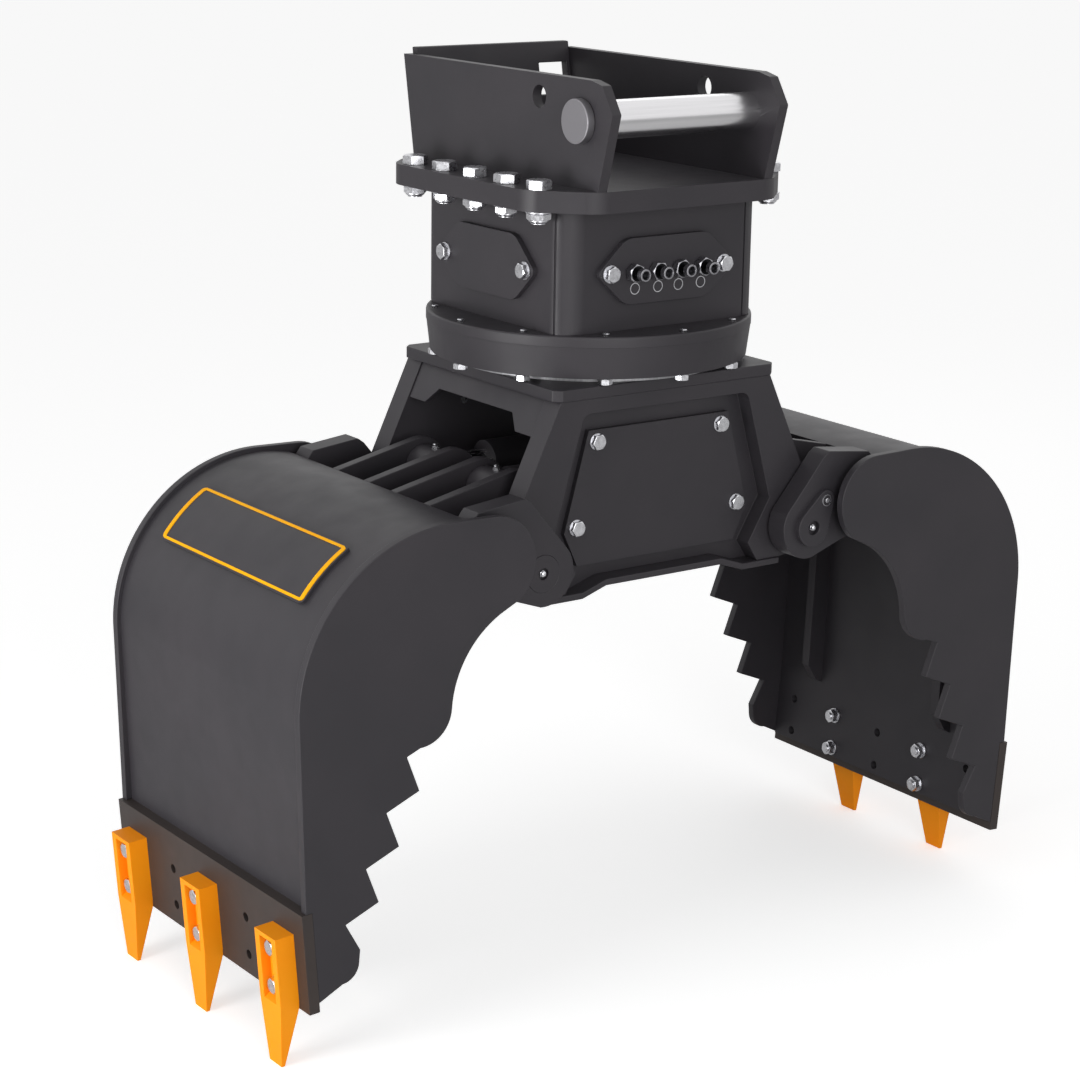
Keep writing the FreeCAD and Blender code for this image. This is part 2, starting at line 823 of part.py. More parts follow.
def ring_inner():
    body = new_body("ring_inner_gear")
    step_low = S["race_step_z"] + S["race_gap"]
    top = S["ring_top"] - S["race_gap"]
    step_r = S["race_step_r"]
    turned(body, [(S["gear_tip_r"], S["top_high"]), (S["race_r"], S["top_high"]), (S["race_r"], step_low),
                  (step_r, step_low), (step_r, top), (S["gear_tip_r"], top)])
    wide, narrow = S["gear_space_tip"], S["gear_space_root"]
    space = [(S["gear_tip_r"] - 4, -wide), (S["gear_root_r"], -narrow),
             (S["gear_root_r"], narrow), (S["gear_tip_r"] - 4, wide)]
    around(body, cut(body, "XY_Plane", [space], S["top_high"], top), GEAR_TEETH)


def union_core():
    body = new_body("union_core")
    slab(body, "XY_Plane", [(0, 0, S["union_r"])], S["union_low"], S["union_top"])
    slab(body, "XY_Plane", [(0, 0, S["union_flange_r"])],
         S["top_high"], S["top_high"] + S["union_flange_thick"])


# Rotating head
def ring_outer():
    body = new_body("ring_outer")
    bore, step = S["race_r"] + S["race_gap"], S["race_step_r"] + S["race_gap"]
    turned(body, [(bore, S["ring_low"]), (S["ring_low_r"], S["ring_low"]),
                  (S["ring_top_r"], S["ring_top"]), (step, S["ring_top"]),
                  (step, S["race_step_z"]), (bore, S["race_step_z"])])
    hole = cut(body, "XY_Plane", [(S["ring_screw_circle_r"], 0, S["ring_screw_r"])],
               S["ring_low"], S["ring_top"])
    around(body, hole, RING_SCREWS)


def ring_flange():
    body = new_body("ring_flange")
    union_hole = (0, 0, S["union_r"] + S["side_play"])
    shaft_hole = (S["pinion_x"], 0, S["shaft_hole_r"])
    slab(body, "XY_Plane", [(0, 0, S["flange_r"]), union_hole, shaft_hole],
         S["ring_top"], S["flange_top"])
    hole = cut(body, "XY_Plane", [(S["ring_screw_circle_r"], 0, S["ring_screw_r"])],
               S["ring_top"], S["flange_top"])
    around(body, hole, RING_SCREWS)


def ring_screws():
    solids = []
    for i in range(RING_SCREWS):
        angle = math.radians(360.0 * i / RING_SCREWS)
        radius = S["ring_screw_circle_r"]
        place = (radius * math.cos(angle), radius * math.sin(angle), 0)
        segments = [("hex", S["ring_screw_flats"], S["ring_low"] - S["ring_screw_head"], S["ring_low"]),
                    ("round", S["ring_screw_r"], S["ring_low"], S["flange_top"] + S["ring_screw_rise"])]
        solids.append(fastener(place, (0, 0, 1), segments))
    group("ring_screws", solids)


def head_outline(inset):
    half = S["head_half"] - inset
    a, b = S["head_flat_a"] - inset, S["head_flat_b"] - inset
    return [(b, -half), (half, -a), (half, a), (b, half), (-b, half), (-half, a), (-half, -a), (-b, -half)]


def head_housing():
    body = new_body("head_housing")
    slab(body, "XY_Plane", [head_outline(as_size(0)), head_outline(S["head_wall"])],
         S["flange_top"], S["head_top"])
    bolt, radius, mid = S["hatch_bolt"], S["m12_r"], S["hatch_mid"]
    holes = [(-bolt, mid, radius), (bolt, mid, radius)]
    inside = S["head_half"] - S["head_wall"]
    cut(body, "YZ_Plane", holes, -S["head_half"], -inside)
    ports = [(x, S["port_z"], S["port_tube_r"]) for x in port_places()]
    cut(body, "XZ_Plane", holes + ports, -S["head_half"], -inside)


def port_places():
    pitch = S["port_pitch"]
    return [pitch * (i - 1.5) for i in range(4)]


def hatch_outline():
    point, flat = S["hatch_point"], S["hatch_flat"]
    return [(point, S["hatch_mid"]), (flat, S["hatch_high"]), (-flat, S["hatch_high"]),
            (-point, S["hatch_mid"]), (-flat, S["hatch_low"]), (flat, S["hatch_low"])]


def head_hatches():
    outer = S["head_half"] + S["hatch_thick"]
    bolt, radius, mid = S["hatch_bolt"], S["m12_r"], S["hatch_mid"]
    holes = [(-bolt, mid, radius), (bolt, mid, radius)]
    slab(new_body("head_inspection_cover"), "YZ_Plane", [hatch_outline()] + holes,
         -outer, -S["head_half"])
    ports = [(x, S["port_z"], S["port_tube_r"]) for x in port_places()]
    slab(new_body("head_port_plate"), "XZ_Plane", [hatch_outline()] + holes + ports,
         -outer, -S["head_half"])
    screws = []
    washer, head = S["m12_washer"], S["m12_head"]
    segments = [("round", S["m12_washer_r"], 0, washer),
                ("hex", S["m12_flats"], washer, washer + head),
                ("round", S["m12_r"], -(S["hatch_thick"] + S["head_wall"]), 0)]
    for side in (-1, 1):
        screws.append(fastener((-outer, bolt * side, mid), (-1, 0, 0), segments))
        screws.append(fastener((bolt * side, -outer, mid), (0, -1, 0), segments))
    group("head_cover_screws", screws)
    fittings = []
    nose = S["port_hex_long"] + S["port_tube_long"]
    stem = S["hatch_thick"] + S["head_wall"] + S["port_stem"]
    for x in port_places():
        segments = [("hex", S["port_hex"], 0, S["port_hex_long"]),
                    ("round", S["port_tube_r"], S["port_hex_long"], nose),
                    ("round", S["port_tube_r"], -stem, 0)]
        fittings.append(fastener((x, -outer, S["port_z"]), (0, -1, 0), segments,
                                 (S["port_bore_r"], -(stem + 1), nose + 1)))
    group("head_port_fittings", fittings)


def slew_drive():
    motor = new_body("slew_motor")
    place = (S["pinion_x"], 0)
    slab(motor, "XY_Plane", [place + (S["motor_r"],)], S["flange_top"], S["motor_top"])
    cut(motor, "XY_Plane", [place + (S["shaft_r"] + S["running_gap"],)],
        S["flange_top"], S["shaft_top"] + 1)
    pinion = new_body("slew_pinion")
    slab(pinion, "XY_Plane", [(0, 0, S["pinion_root_r"])], S["pinion_low"], S["pinion_top"])
    root, tip = S["pinion_tooth_root"], S["pinion_tooth_tip"]
    tooth = [(S["pinion_root_r"] - 3, -root), (S["pinion_tip_r"], -tip),
             (S["pinion_tip_r"], tip), (S["pinion_root_r"] - 3, root)]
    around(pinion, slab(pinion, "XY_Plane", [tooth], S["pinion_low"], S["pinion_top"]), PINION_TEETH)
    slab(pinion, "XY_Plane", [(0, 0, S["shaft_r"])], S["pinion_top"], S["shaft_top"])
    pinion.Placement = Placement(Vector(S["pinion_x"].value, 0, 0), Rotation(Vector(0, 0, 1), 180))
    pinion.setExpression("Placement.Base.x", S["pinion_x"].text)
    sleeve = new_body("union_sleeve")
    wall = S["union_r"] + S["running_gap"]
    slab(sleeve, "XY_Plane", [(0, 0, wall + S["union_sleeve_wall"]), (0, 0, wall)],
         S["flange_top"], S["union_sleeve_top"])


# Adapter bracket
def plate_outline():
    half, front, rear = S["plate_half"], S["plate_front_cut"], S["plate_rear_cut"]
    return [(half - front, -half), (half, -(half - front)), (half, half - rear), (half - rear, half),
            (-(half - rear), half), (-half, half - rear), (-half, -(half - front)), (-(half - front), -half)]


def bolt_places():
    return [(S["bolt_x"] * side, S["bolt_pitch"] * i) for side in (-1, 1) for i in (-2, -1, 0, 1, 2)]


def bracket():
    holes = [(x, y, S["bolt_hole_r"]) for x, y in bolt_places()]
    slab(new_body("head_top_plate"), "XY_Plane", [plate_outline()] + holes, S["head_top"], S["plate_high"])
    slab(new_body("bracket_plate"), "XY_Plane", [plate_outline()] + holes, S["plate_high"], S["bracket_high"])
    ear = [(S["ear_foot_rear"], S["bracket_high"]), (S["ear_rear_y"], S["ear_top"] - 1),
           (-S["ear_front_y"], S["ear_top"]), (-S["ear_brow_y"], S["ear_brow_z"]),
           (-S["ear_nose_y"], S["ear_nose_z"]), (-S["ear_foot_front"], S["bracket_high"])]
    ear_holes = [(-S["ear_hole_y"], S["ear_hole_z"], S["ear_hole_r"]),
                 (-S["carrier_y"], S["carrier_z"], S["carrier_r"])]
    outer = S["ear_inner"] + S["ear_thick"]
    slab(new_body("bracket_ear_left"), "YZ_Plane", [ear] + ear_holes, -outer, -S["ear_inner"])
    slab(new_body("bracket_ear_right"), "YZ_Plane", [ear] + ear_holes, S["ear_inner"], outer)
    cross = new_body("bracket_cross_plate")
    thick = S["cross_thick"]
    points = [(S["ear_foot_rear"] - thick, S["bracket_high"]), (S["ear_foot_rear"], S["bracket_high"]),
              (S["cross_rear_y"], S["cross_top"]), (S["cross_rear_y"] - thick, S["cross_top"])]
    slab(cross, "YZ_Plane", [points], -S["ear_inner"], S["ear_inner"])
    slots = []
    for side in (-1, 1):
        near, far = S["slot_near"] * side, S["slot_far"] * side
        slots.append([(near, S["slot_low"]), (far, S["slot_low"]),
                      (far, S["slot_high"]), (near, S["slot_high"])])
    cut(cross, "XZ_Plane", slots, S["ear_foot_rear"] - 30, S["cross_rear_y"] + 5)
    cap = outer + S["carrier_cap"]
    place = (0, -S["carrier_y"], S["carrier_z"])
    segments = [("round", S["carrier_r"], -outer, outer),
                ("round", S["carrier_cap_r"], outer, cap),
                ("round", S["carrier_cap_r"], -cap, -outer)]
    pin = fastener(place, (1, 0, 0), segments)
    pin.Label = "carrier_pin"
    made.append(pin)


def bracket_fasteners():
    bolts, nuts = [], []
    low = S["head_top"]
    nut_low = low - S["nut_flange"] - S["nut_high"]
    for x, y in bolt_places():
        segments = [("hex", S["bolt_flats"], S["bracket_high"], S["bracket_high"] + S["bolt_head"]),
                    ("round", S["bolt_r"], nut_low - S["bolt_tip"], S["bracket_high"])]
        bolts.append(fastener((x, y, 0), (0, 0, 1), segments))
        segments = [("round", S["nut_flange_r"], low - S["nut_flange"], low),
                    ("hex", S["nut_flats"], nut_low, low - S["nut_flange"])]
        nuts.append(fastener((x, y, 0), (0, 0, 1), segments, (S["bolt_r"], nut_low - 1, low + 1)))
    group("bracket_bolts", bolts)
    group("bracket_nuts", nuts)


# Jaws, drawn for the right side; the left one is turned half a turn about Z
def shell_outline():
    outer, inner = S["shell_r"], S["shell_r"] - S["shell_thick"]
    back = S["edge_thick"] + S["shell_thick"]
    high, low = S["edge_high"], S["shell_foot"]
    start, stop = polar(outer, SHELL_START), polar(inner, SHELL_START)
    return [start, polar(outer, 0) + (outer, -1), leaning(-S["edge_thick"], high),
            leaning(-S["edge_thick"], low), leaning(-back, low), leaning(-back, high),
            polar(inner, 0), stop + (inner, 1)]


def jaw_shell(name):
    body = new_body(name + "_shell")
    slab(body, "XZ_Plane", [shell_outline()], -S["side_in"], S["side_in"])
    inner = S["shell_r"] - S["shell_thick"]
    deep = inner - S["stiff_deep"]
    back = S["edge_thick"] + S["shell_thick"]
    low = S["edge_high"] - S["stiff_foot_low"]
    mid, top = S["edge_high"] - S["stiff_foot_mid"], S["edge_high"] + S["stiff_foot_top"]
    rib = [polar(inner, RIB_END), polar(inner, 0) + (inner, -1), leaning(-back, S["edge_high"]),
           leaning(-back, low), leaning(-(back + S["stiff_foot_in"]), mid),
           leaning(-(back + S["stiff_deep"]), top), polar(deep, 0), polar(deep, RIB_END) + (deep, 1)]
    half = S["stiff_thick"] * 0.5
    for y in (S["stiff_y"], -S["stiff_y"]):
        slab(body, "XZ_Plane", [rib], y - half, y + half)
    x, z = leaning(0, 0)
    sketch = new_sketch(body, "YZ_Plane", x, LEAN, z)
    draw(sketch, edge_holes())
    holes = body.newObject("PartDesign::Pocket", body.Name + "_holes")
    holes.Profile = sketch
    set_length(holes, back + S["stiff_deep"])
    body.Tip = holes
    return body


def edge_holes():
    holes = []
    for i in (-2, -1, 0, 1, 2):
        for level in ("hole_low", "hole_high"):
            holes.append((S["tooth_pitch"] * i, S[level], S["hole_r"]))
    return holes


def side_outline():
    points = [(S["lobe_top_x"], S["lobe_top_z"]), (S["jaw_x"], S["jaw_z"] + S["jaw_side_r"]),
              polar(S["jaw_side_r"], 0) + (S["jaw_side_r"], -1),
              leaning(-S["edge_proud"], S["edge_high"]), leaning(-S["edge_thick"], S["edge_high"]),
              leaning(-S["edge_thick"], S["side_foot"]), (S["toe_x"], S["toe_z"]),
              (S["heel_x"], S["heel_z"], S["heel_r"], -1), (S["heel_top_x"], S["heel_top_z"])]
    for i in (3, 2, 1, 0):
        x = S["saw_x"] + S["saw_step_x"] * i
        z = S["saw_z"] - S["saw_step_z"] * i
        if i < 3:
            points.append((x - S["saw_back_x"], z - S["saw_back_z"]))
        points.append((x, z))
    points += [(S["saw_x"] - S["saw_lead_x"], S["saw_z"] + S["saw_lead_z"]),
               (S["throat_low_x"], S["throat_low_z"], S["neck_r"], -1),
               (S["throat_top_x"], S["throat_top_z"], S["throat_r"], 1),
               (S["lobe_low_x"], S["lobe_low_z"])]
    points[0] = points[0] + (S["lobe_r"], -1)
    return points


def from_hinge(out, up, x_way, z_way):
    """Place given by two named lengths, measured from the hinge of the right jaw."""
    return S["pivot_x"] + S[out] * x_way, S["pivot_z"] + S[up] * z_way


def root_end():
    """Where the lugs and ribs meet the inside of the rolled back."""
    return S["jaw_x"] + S["root_past"], S["pivot_z"] + S["root_up"]


def rib_outline(link):
    inner = S["shell_r"] - S["shell_thick"]
    tilt = math.radians(80.6)
    horn, boss = S["rib_horn_r"], S["link_boss_r"]
    top = (S["horn_x"] + horn * math.cos(tilt), S["horn_z"] + horn * math.sin(tilt))
    low = math.radians(215)
    tail = (S["horn_x"] + horn * math.cos(low), S["horn_z"] + horn * math.sin(low), horn, 1)
    chin = math.radians(-67)
    points = [polar(S["shell_r"], SHELL_START), top, tail,
              (S["link_low_x"] - boss, S["link_low_z"] + S["rib_tail_up"]),
              (S["link_low_x"] + boss * math.cos(chin), S["link_low_z"] + boss * math.sin(chin), boss, 1),
              from_hinge("rib_chin_out", "rib_chin_down", 1, -1), root_end(),
              polar(inner, RIB_END), polar(inner, SHELL_START) + (inner, 1)]
    holes = [(S["horn_x"], S["horn_z"], S["horn_pin_r"])]
    if link is not None:
        holes.append((link[0], link[1], S["link_pin_r"]))
    return [points] + holes


def lug_outline():
    inner = S["shell_r"] - S["shell_thick"]
    return [polar(S["shell_r"], SHELL_START), from_hinge("lug_crown_out", "lug_crown_up", 1, 1),
            from_hinge("lug_brow_out", "lug_brow_up", 1, 1), from_hinge("lug_nose_out", "lug_nose_up", 1, 1),
            from_hinge("lug_neck_in", "lug_neck_up", -1, 1), from_hinge("lug_heel_in", "lug_heel_up", -1, 1),
            from_hinge("lug_chin_out", "lug_chin_down", 1, -1) + (S["boss_r"], 1),
            from_hinge("lug_root_out", "lug_root_down", 1, -1), root_end(),
            polar(inner, RIB_END), polar(inner, SHELL_START) + (inner, 1)]


def one_solid(label, shapes, low, high):
    """Flat plate for a group, drawn in the XZ plane."""
    body = doc.addObject("PartDesign::Body", label)
    slab(body, "XZ_Plane", shapes, low, high)
    return body


def keeper(name):
    body = new_body(name + "_keeper")
    flag = [from_hinge("flag_top_near", "flag_top_up", 1, 1),
            (S["pivot_x"] + S["flag_top_far"], S["pivot_z"] + S["flag_top_up"] - S["flag_drop"]),
            from_hinge("flag_side_out", "flag_side_up", 1, 1),
            from_hinge("flag_low_out", "flag_low_down", 1, -1),
            from_hinge("flag_end_in", "flag_end_down", -1, -1),
            from_hinge("flag_back_in", "flag_back_up", -1, 1)]
    slab(body, "XZ_Plane", [flag], -(S["lug_out"] + S["keeper_thick"]), -S["lug_out"])
    radius = S["m12_flats"] * (1 / math.sqrt(3))
    head = []
    for i in range(6):
        turn = math.radians(60 * i + 10)
        head.append((S["keeper_bolt_x"] + radius * math.cos(turn),
                     S["keeper_bolt_z"] + radius * math.sin(turn)))
    top = S["lug_out"] + S["keeper_thick"] + S["m12_head"]
    slab(body, "XZ_Plane", [head], -top, -(S["lug_out"] + S["keeper_thick"]))
    return body


def hinge_pin(side):
    place = (S["pivot_x"], 0, S["pivot_z"])
    floor = S["lug_out"] - S["nipple_well"]
    shank = fastener(place, (0, side, 0), [("round", S["pin_r"], S["pin_inner_y"], S["lug_out"])],
                     (S["nipple_well_r"], floor, S["lug_out"] + 1))
    nipple = primitive("round", S["nipple_r"], place, (0, side, 0), floor, floor + S["nipple_high"])
    joined = doc.addObject("Part::MultiFuse", "hinge_pin")
    joined.Shapes = [shank, nipple]
    return joined


def jaw(name, teeth_at, link, sides):
    parts = [jaw_shell(name)]
    walls = ((-S["jaw_half_y"], -S["side_in"]), (S["side_in"], S["jaw_half_y"]))
    for label, (low, high) in zip(sides, walls):
        body = new_body(name + "_side_" + label)
        slab(body, "XZ_Plane", [side_outline()], low, high)
        parts.append(body)
    lugs = []
    for low, high in ((-S["lug_out"], -S["lug_y"]), (S["lug_y"], S["lug_out"])):
        shapes = [lug_outline(), (S["pivot_x"], S["pivot_z"], S["pin_r"])]
        lugs.append(one_solid(name + "_lug", shapes, low, high))
    parts.append(group(name + "_hinge_lugs", lugs))
    ribs = []
    half = S["rib_thick"] * 0.5
    for y, hole in ((-S["rib_outer_y"], None), (-S["rib_inner_y"], link),
                    (S["rib_inner_y"], link), (S["rib_outer_y"], None)):
        ribs.append(one_solid(name + "_rib", rib_outline(hole), y - half, y + half))
    parts.append(group(name + "_horn_ribs", ribs))
    pins = []
    reach = S["rib_outer_y"] + half
    for side in (-1, 1):
        segments = [("round", S["horn_pin_r"], S["rib_inner_y"] - half, reach)]
        pins.append(fastener((S["horn_x"], 0, S["horn_z"]), (0, side, 0), segments))
    reach = S["rib_inner_y"] + half
    pins.append(fastener((link[0], 0, link[1]), (0, 1, 0), [("round", S["link_pin_r"], -reach, reach)]))
    parts.append(group(name + "_rib_pins", pins))
    parts.append(group(name + "_hinge_pins", [hinge_pin(-1), hinge_pin(1)]))
    parts.append(keeper(name))
    leaning_parts = cutting_edge(name, teeth_at)
    return parts, leaning_parts


def cutting_edge(name, teeth_at):
    """Cutting plate, teeth and their fasteners in the leaning frame of the plate."""
    plate = new_body(name + "_cutting_plate")
    outline = [(-S["jaw_half_y"], 0), (S["jaw_half_y"], 0),
               (S["jaw_half_y"], S["edge_high"]), (-S["jaw_half_y"], S["edge_high"])]
    slab(plate, "YZ_Plane", [outline] + edge_holes(), -S["edge_thick"], 0)
    teeth, bolts, nuts = [], [], []
    floor = S["tooth_thick"] - S["tooth_well_deep"]
    clamp = S["edge_thick"] + S["shell_thick"]
    washer = clamp + S["m12_washer"]
    nut = washer + S["tooth_nut"]
    for i in teeth_at:
        y = S["tooth_pitch"] * i
        teeth.append(tooth(name, y, floor))
        for level in ("hole_low", "hole_high"):
            place = (0, y, S[level])
            segments = [("hex", S["m12_flats"], floor, floor + S["m12_head"]),
                        ("round", S["m12_r"], -(nut + S["tooth_bolt_tip"]), floor)]
            bolts.append(fastener(place, (1, 0, 0), segments))
            segments = [("round", S["m12_washer_r"], -washer, -clamp),
                        ("hex", S["m12_flats"], -nut, -washer)]
            nuts.append(fastener(place, (1, 0, 0), segments, (S["m12_r"], -(nut + 1), -(clamp - 1))))
    return [plate, group(name + "_teeth", teeth), group(name + "_tooth_bolts", bolts),
            group(name + "_tooth_nuts", nuts)]


def tooth(name, y, floor):
    body = doc.addObject("PartDesign::Body", name + "_tooth")
    half, tip = S["tooth_wide"] * 0.5, S["tooth_tip_wide"] * 0.5
    thick, reach = S["tooth_thick"], S["tooth_reach"]
    profile = [(0, 0), (0, S["tooth_high"]), (thick, S["tooth_high"]), (thick, -reach),
               (thick - S["tooth_tip_thick"], -reach)]
    slab(body, "XZ_Plane", [profile], y - half, y + half)
    wedges = []
    for side in (-1, 1):
        outer = y + (half + 2) * side
        wedges.append([(y + half * side, S["tooth_shoulder"]), (y + tip * side, -reach - 1),
                       (outer, -reach - 1), (outer, S["tooth_shoulder"])])
    cut(body, "YZ_Plane", wedges, -1, thick + 1)
    well = S["tooth_well_wide"] * 0.5
    pocket = [(floor, S["tooth_well_low"]), (floor, S["tooth_well_high"]),
              (thick + 1, S["tooth_well_high"]), (thick + 1, S["tooth_well_low"] - S["tooth_well_bevel"])]
    cut(body, "XZ_Plane", [pocket], y - well, y + well)
    holes = [(y, S["hole_low"], S["hole_r"]), (y, S["hole_high"], S["hole_r"])]
    cut(body, "YZ_Plane", holes, -1, thick)
    return body


# Cylinders, drawn with the barrel on the left; the second pair is turned half a turn about Z
def cylinder(name, turn):
    y, z = -S["cylinder_y"], S["horn_z"]
    inside = S["horn_x"] - S["eye_r"] * 0.7
    nipple = (z + S["eye_r"] - 1, z + S["eye_r"] + S["nipple_high"])
    near, far = y - S["eye_half"], y + S["eye_half"]
    hole_r = S["horn_pin_r"] + S["running_gap"]
    barrel = new_body(name + "_barrel")
    slab(barrel, "XZ_Plane", [(-S["horn_x"], z, S["eye_r"])], near, far)
    slab(barrel, "YZ_Plane", [(y, z, S["barrel_r"])], -inside, S["barrel_end_x"])
    slab(barrel, "XY_Plane", [(-S["horn_x"], y, S["nipple_r"])], *nipple)
    cut(barrel, "XZ_Plane", [(-S["horn_x"], z, hole_r)], near, far)
    gland = S["barrel_end_x"] - S["gland_long"]
    cut(barrel, "YZ_Plane", [(y, z, S["rod_r"] + S["running_gap"])], gland - 1, S["barrel_end_x"])
    bore = new_sketch(barrel, "YZ_Plane", gland)
    draw(bore, [(y, z, S["barrel_bore_r"])])
    pocket = barrel.newObject("PartDesign::Pocket", "bore")
    pocket.Profile = bore
    set_length(pocket, gland + S["barrel_bottom_x"])
    barrel.Tip = pocket
    rod = new_body(name + "_rod")
    slab(rod, "XZ_Plane", [(S["horn_x"], z, S["eye_r"])], near, far)
    slab(rod, "YZ_Plane", [(y, z, S["rod_r"])], -S["piston_x"], inside)
    slab(rod, "YZ_Plane", [(y, z, S["barrel_bore_r"] - S["running_gap"])],
         -S["piston_x"], -S["piston_x"] + S["piston_long"])
    slab(rod, "XY_Plane", [(S["horn_x"], y, S["nipple_r"])], *nipple)
    cut(rod, "XZ_Plane", [(S["horn_x"], z, hole_r)], near, far)
    for body in (barrel, rod):
        body.Placement = turn


def timing_link():
    body = new_body("timing_link")
    dx = S["link_low_x"].value + S["link_high_x"].value
    dz = S["link_low_z"].value - S["link_high_z"].value
    length = math.hypot(dx, dz)
    eye, half = S["link_eye_r"], S["link_eye_half"]
    far_x = as_size(length)
    for x in (as_size(0), far_x):
        slab(body, "XZ_Plane", [(x, 0, eye)], -half, half)
    h = S["link_half_z"]
    bar = [(as_size(0), -h), (far_x, -h), (far_x, h), (as_size(0), h)]
    slab(body, "XZ_Plane", [bar], -S["link_half_y"], S["link_half_y"])
    cut(body, "XZ_Plane", [(0, 0, S["link_pin_r"] + S["running_gap"])], -half, half)
    cut(body, "XZ_Plane", [(far_x, 0, S["link_pin_r"] + S["link_swim"])], -half, half)
    turn = Rotation(Vector(0, 1, 0), -math.degrees(math.atan2(dz, dx)))
    body.Placement = Placement(Vector(-S["link_high_x"].value, 0, S["link_high_z"].value), turn)


frame_top()
frame_side("frame_side_near", -1)
frame_side("frame_side_far", 1)
frame_end("frame_end_left", -1)
frame_end("frame_end_right", 1)
frame_belly()
frame_cover("frame_cover_near", -1)
frame_cover("frame_cover_far", 1)
frame_cover_bolts()
frame_bushes()
ring_inner()
union_core()
ring_outer()
ring_flange()
ring_screws()
head_housing()
head_hatches()
slew_drive()
bracket()
bracket_fasteners()

upright = Placement()
half_turn = Placement(Vector(0, 0, 0), Rotation(Vector(0, 0, 1), 180))
edge_frame = Placement(Vector(S["edge_x"].value, 0, S["edge_z"].value), Rotation(Vector(0, 1, 0), LEAN))
high_eye = (S["link_high_x"], S["link_high_z"])
low_eye = (S["link_low_x"], S["link_low_z"])
JAWS = (("left_jaw", half_turn, (-2, 0, 2), high_eye, ("far", "near")),
        ("right_jaw", upright, (-1, 1), low_eye, ("near", "far")))
for name, turn, teeth_at, link, sides in JAWS:
    upright_parts, leaning_parts = jaw(name, teeth_at, link, sides)
    for item in upright_parts:
        item.Placement = turn
    for item in leaning_parts:
        item.Placement = turn.multiply(edge_frame)
cylinder("near_cylinder", upright)
cylinder("far_cylinder", half_turn)
timing_link()
doc.recompute()

# Check every object and write one file for each sub-part
for item in doc.Objects:
    if "Invalid" in item.State or "Error" in item.State:
        raise RuntimeError("bad object %s %s" % (item.Label, item.State))
    shape = getattr(item, "Shape", None)
    if shape is not None and not item.isDerivedFrom("App::OriginFeature") and shape.isNull():
        raise RuntimeError("empty shape " + item.Label)
os.makedirs("parts", exist_ok=True)
for item in made:
    if not item.Shape.isValid():
        raise RuntimeError("bad shape " + item.Label)
    item.Shape.exportStep("parts/%s.step" % item.Label)
    print(item.Label, len(item.Shape.Solids), round(item.Shape.Volume / 1000, 1), "cm3")
print(len(made), "parts")
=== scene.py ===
import bmesh
import bpy
import json
import math
from mathutils import Matrix, Vector


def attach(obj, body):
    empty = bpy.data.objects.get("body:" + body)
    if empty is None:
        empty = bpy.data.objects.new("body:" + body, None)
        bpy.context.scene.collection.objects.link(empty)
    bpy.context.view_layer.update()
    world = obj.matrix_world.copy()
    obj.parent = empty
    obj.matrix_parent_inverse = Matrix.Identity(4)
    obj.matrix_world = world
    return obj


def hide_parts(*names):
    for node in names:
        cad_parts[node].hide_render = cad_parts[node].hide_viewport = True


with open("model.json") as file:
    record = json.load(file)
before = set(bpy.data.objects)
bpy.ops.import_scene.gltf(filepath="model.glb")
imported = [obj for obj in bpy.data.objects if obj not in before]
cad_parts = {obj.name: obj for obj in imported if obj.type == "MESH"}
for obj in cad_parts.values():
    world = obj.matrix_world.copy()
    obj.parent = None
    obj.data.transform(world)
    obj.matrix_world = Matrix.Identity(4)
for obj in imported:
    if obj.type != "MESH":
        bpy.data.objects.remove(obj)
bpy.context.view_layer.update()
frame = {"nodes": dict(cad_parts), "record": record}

MM = 0.001


# Colours and materials
def paint(code):
    """sRGB hex to linear colour."""
    parts = [int(code[i:i + 2], 16) / 255 for i in (1, 3, 5)]
    linear = [p / 12.92 if p <= 0.04045 else ((p + 0.055) / 1.055) ** 2.4 for p in parts]
    return (*linear, 1.0)


def add_node(tree, kind, settings=None, links=None):
    """Adds a node with settings by attribute or input name, and links given as input: output socket."""
    node = tree.nodes.new(kind)
    for key, value in (settings or {}).items():
        if hasattr(node, key):
            setattr(node, key, value)
        else:
            node.inputs[key].default_value = value
    for key, socket in (links or {}).items():
        tree.links.new(socket, node.inputs[key])
    return node


def new_material(name):
    """Empty material with its tree, its shader and the object's own coordinates."""
    material = bpy.data.materials.new(name)
    material.use_nodes = True
    tree = material.node_tree
    shader = tree.nodes["Principled BSDF"]
    place = add_node(tree, "ShaderNodeTexCoord").outputs["Object"]
    return material, tree, shader, place


def noise(tree, place, size_mm, detail=2.0, rough=0.5):
    """Noise whose blotches are about size_mm wide on the object."""
    node = add_node(tree, "ShaderNodeTexNoise",
                    {"Scale": 1.0 / (size_mm * MM), "Detail": detail, "Roughness": rough}, {"Vector": place})
    return node.outputs["Fac"]


def between(tree, factor, low, high, start=0.3, stop=0.7):
    """Spreads a factor from start to stop over the values low to high."""
    node = add_node(tree, "ShaderNodeMapRange",
                    {"From Min": start, "From Max": stop, "To Min": low, "To Max": high}, {"Value": factor})
    return node.outputs["Result"]


def mix(tree, factor, dark, light):
    """Colour between dark and light, each a colour or an output socket."""
    node = add_node(tree, "ShaderNodeMix", {"data_type": "RGBA"})
    for name, value in (("A_Color", dark), ("B_Color", light)):
        socket = [s for s in node.inputs if s.identifier == name][0]
        if hasattr(value, "is_linked"):
            tree.links.new(value, socket)
        else:
            socket.default_value = value
    tree.links.new(factor, [s for s in node.inputs if s.identifier == "Factor_Float"][0])
    return [s for s in node.outputs if s.identifier == "Result_Color"][0]


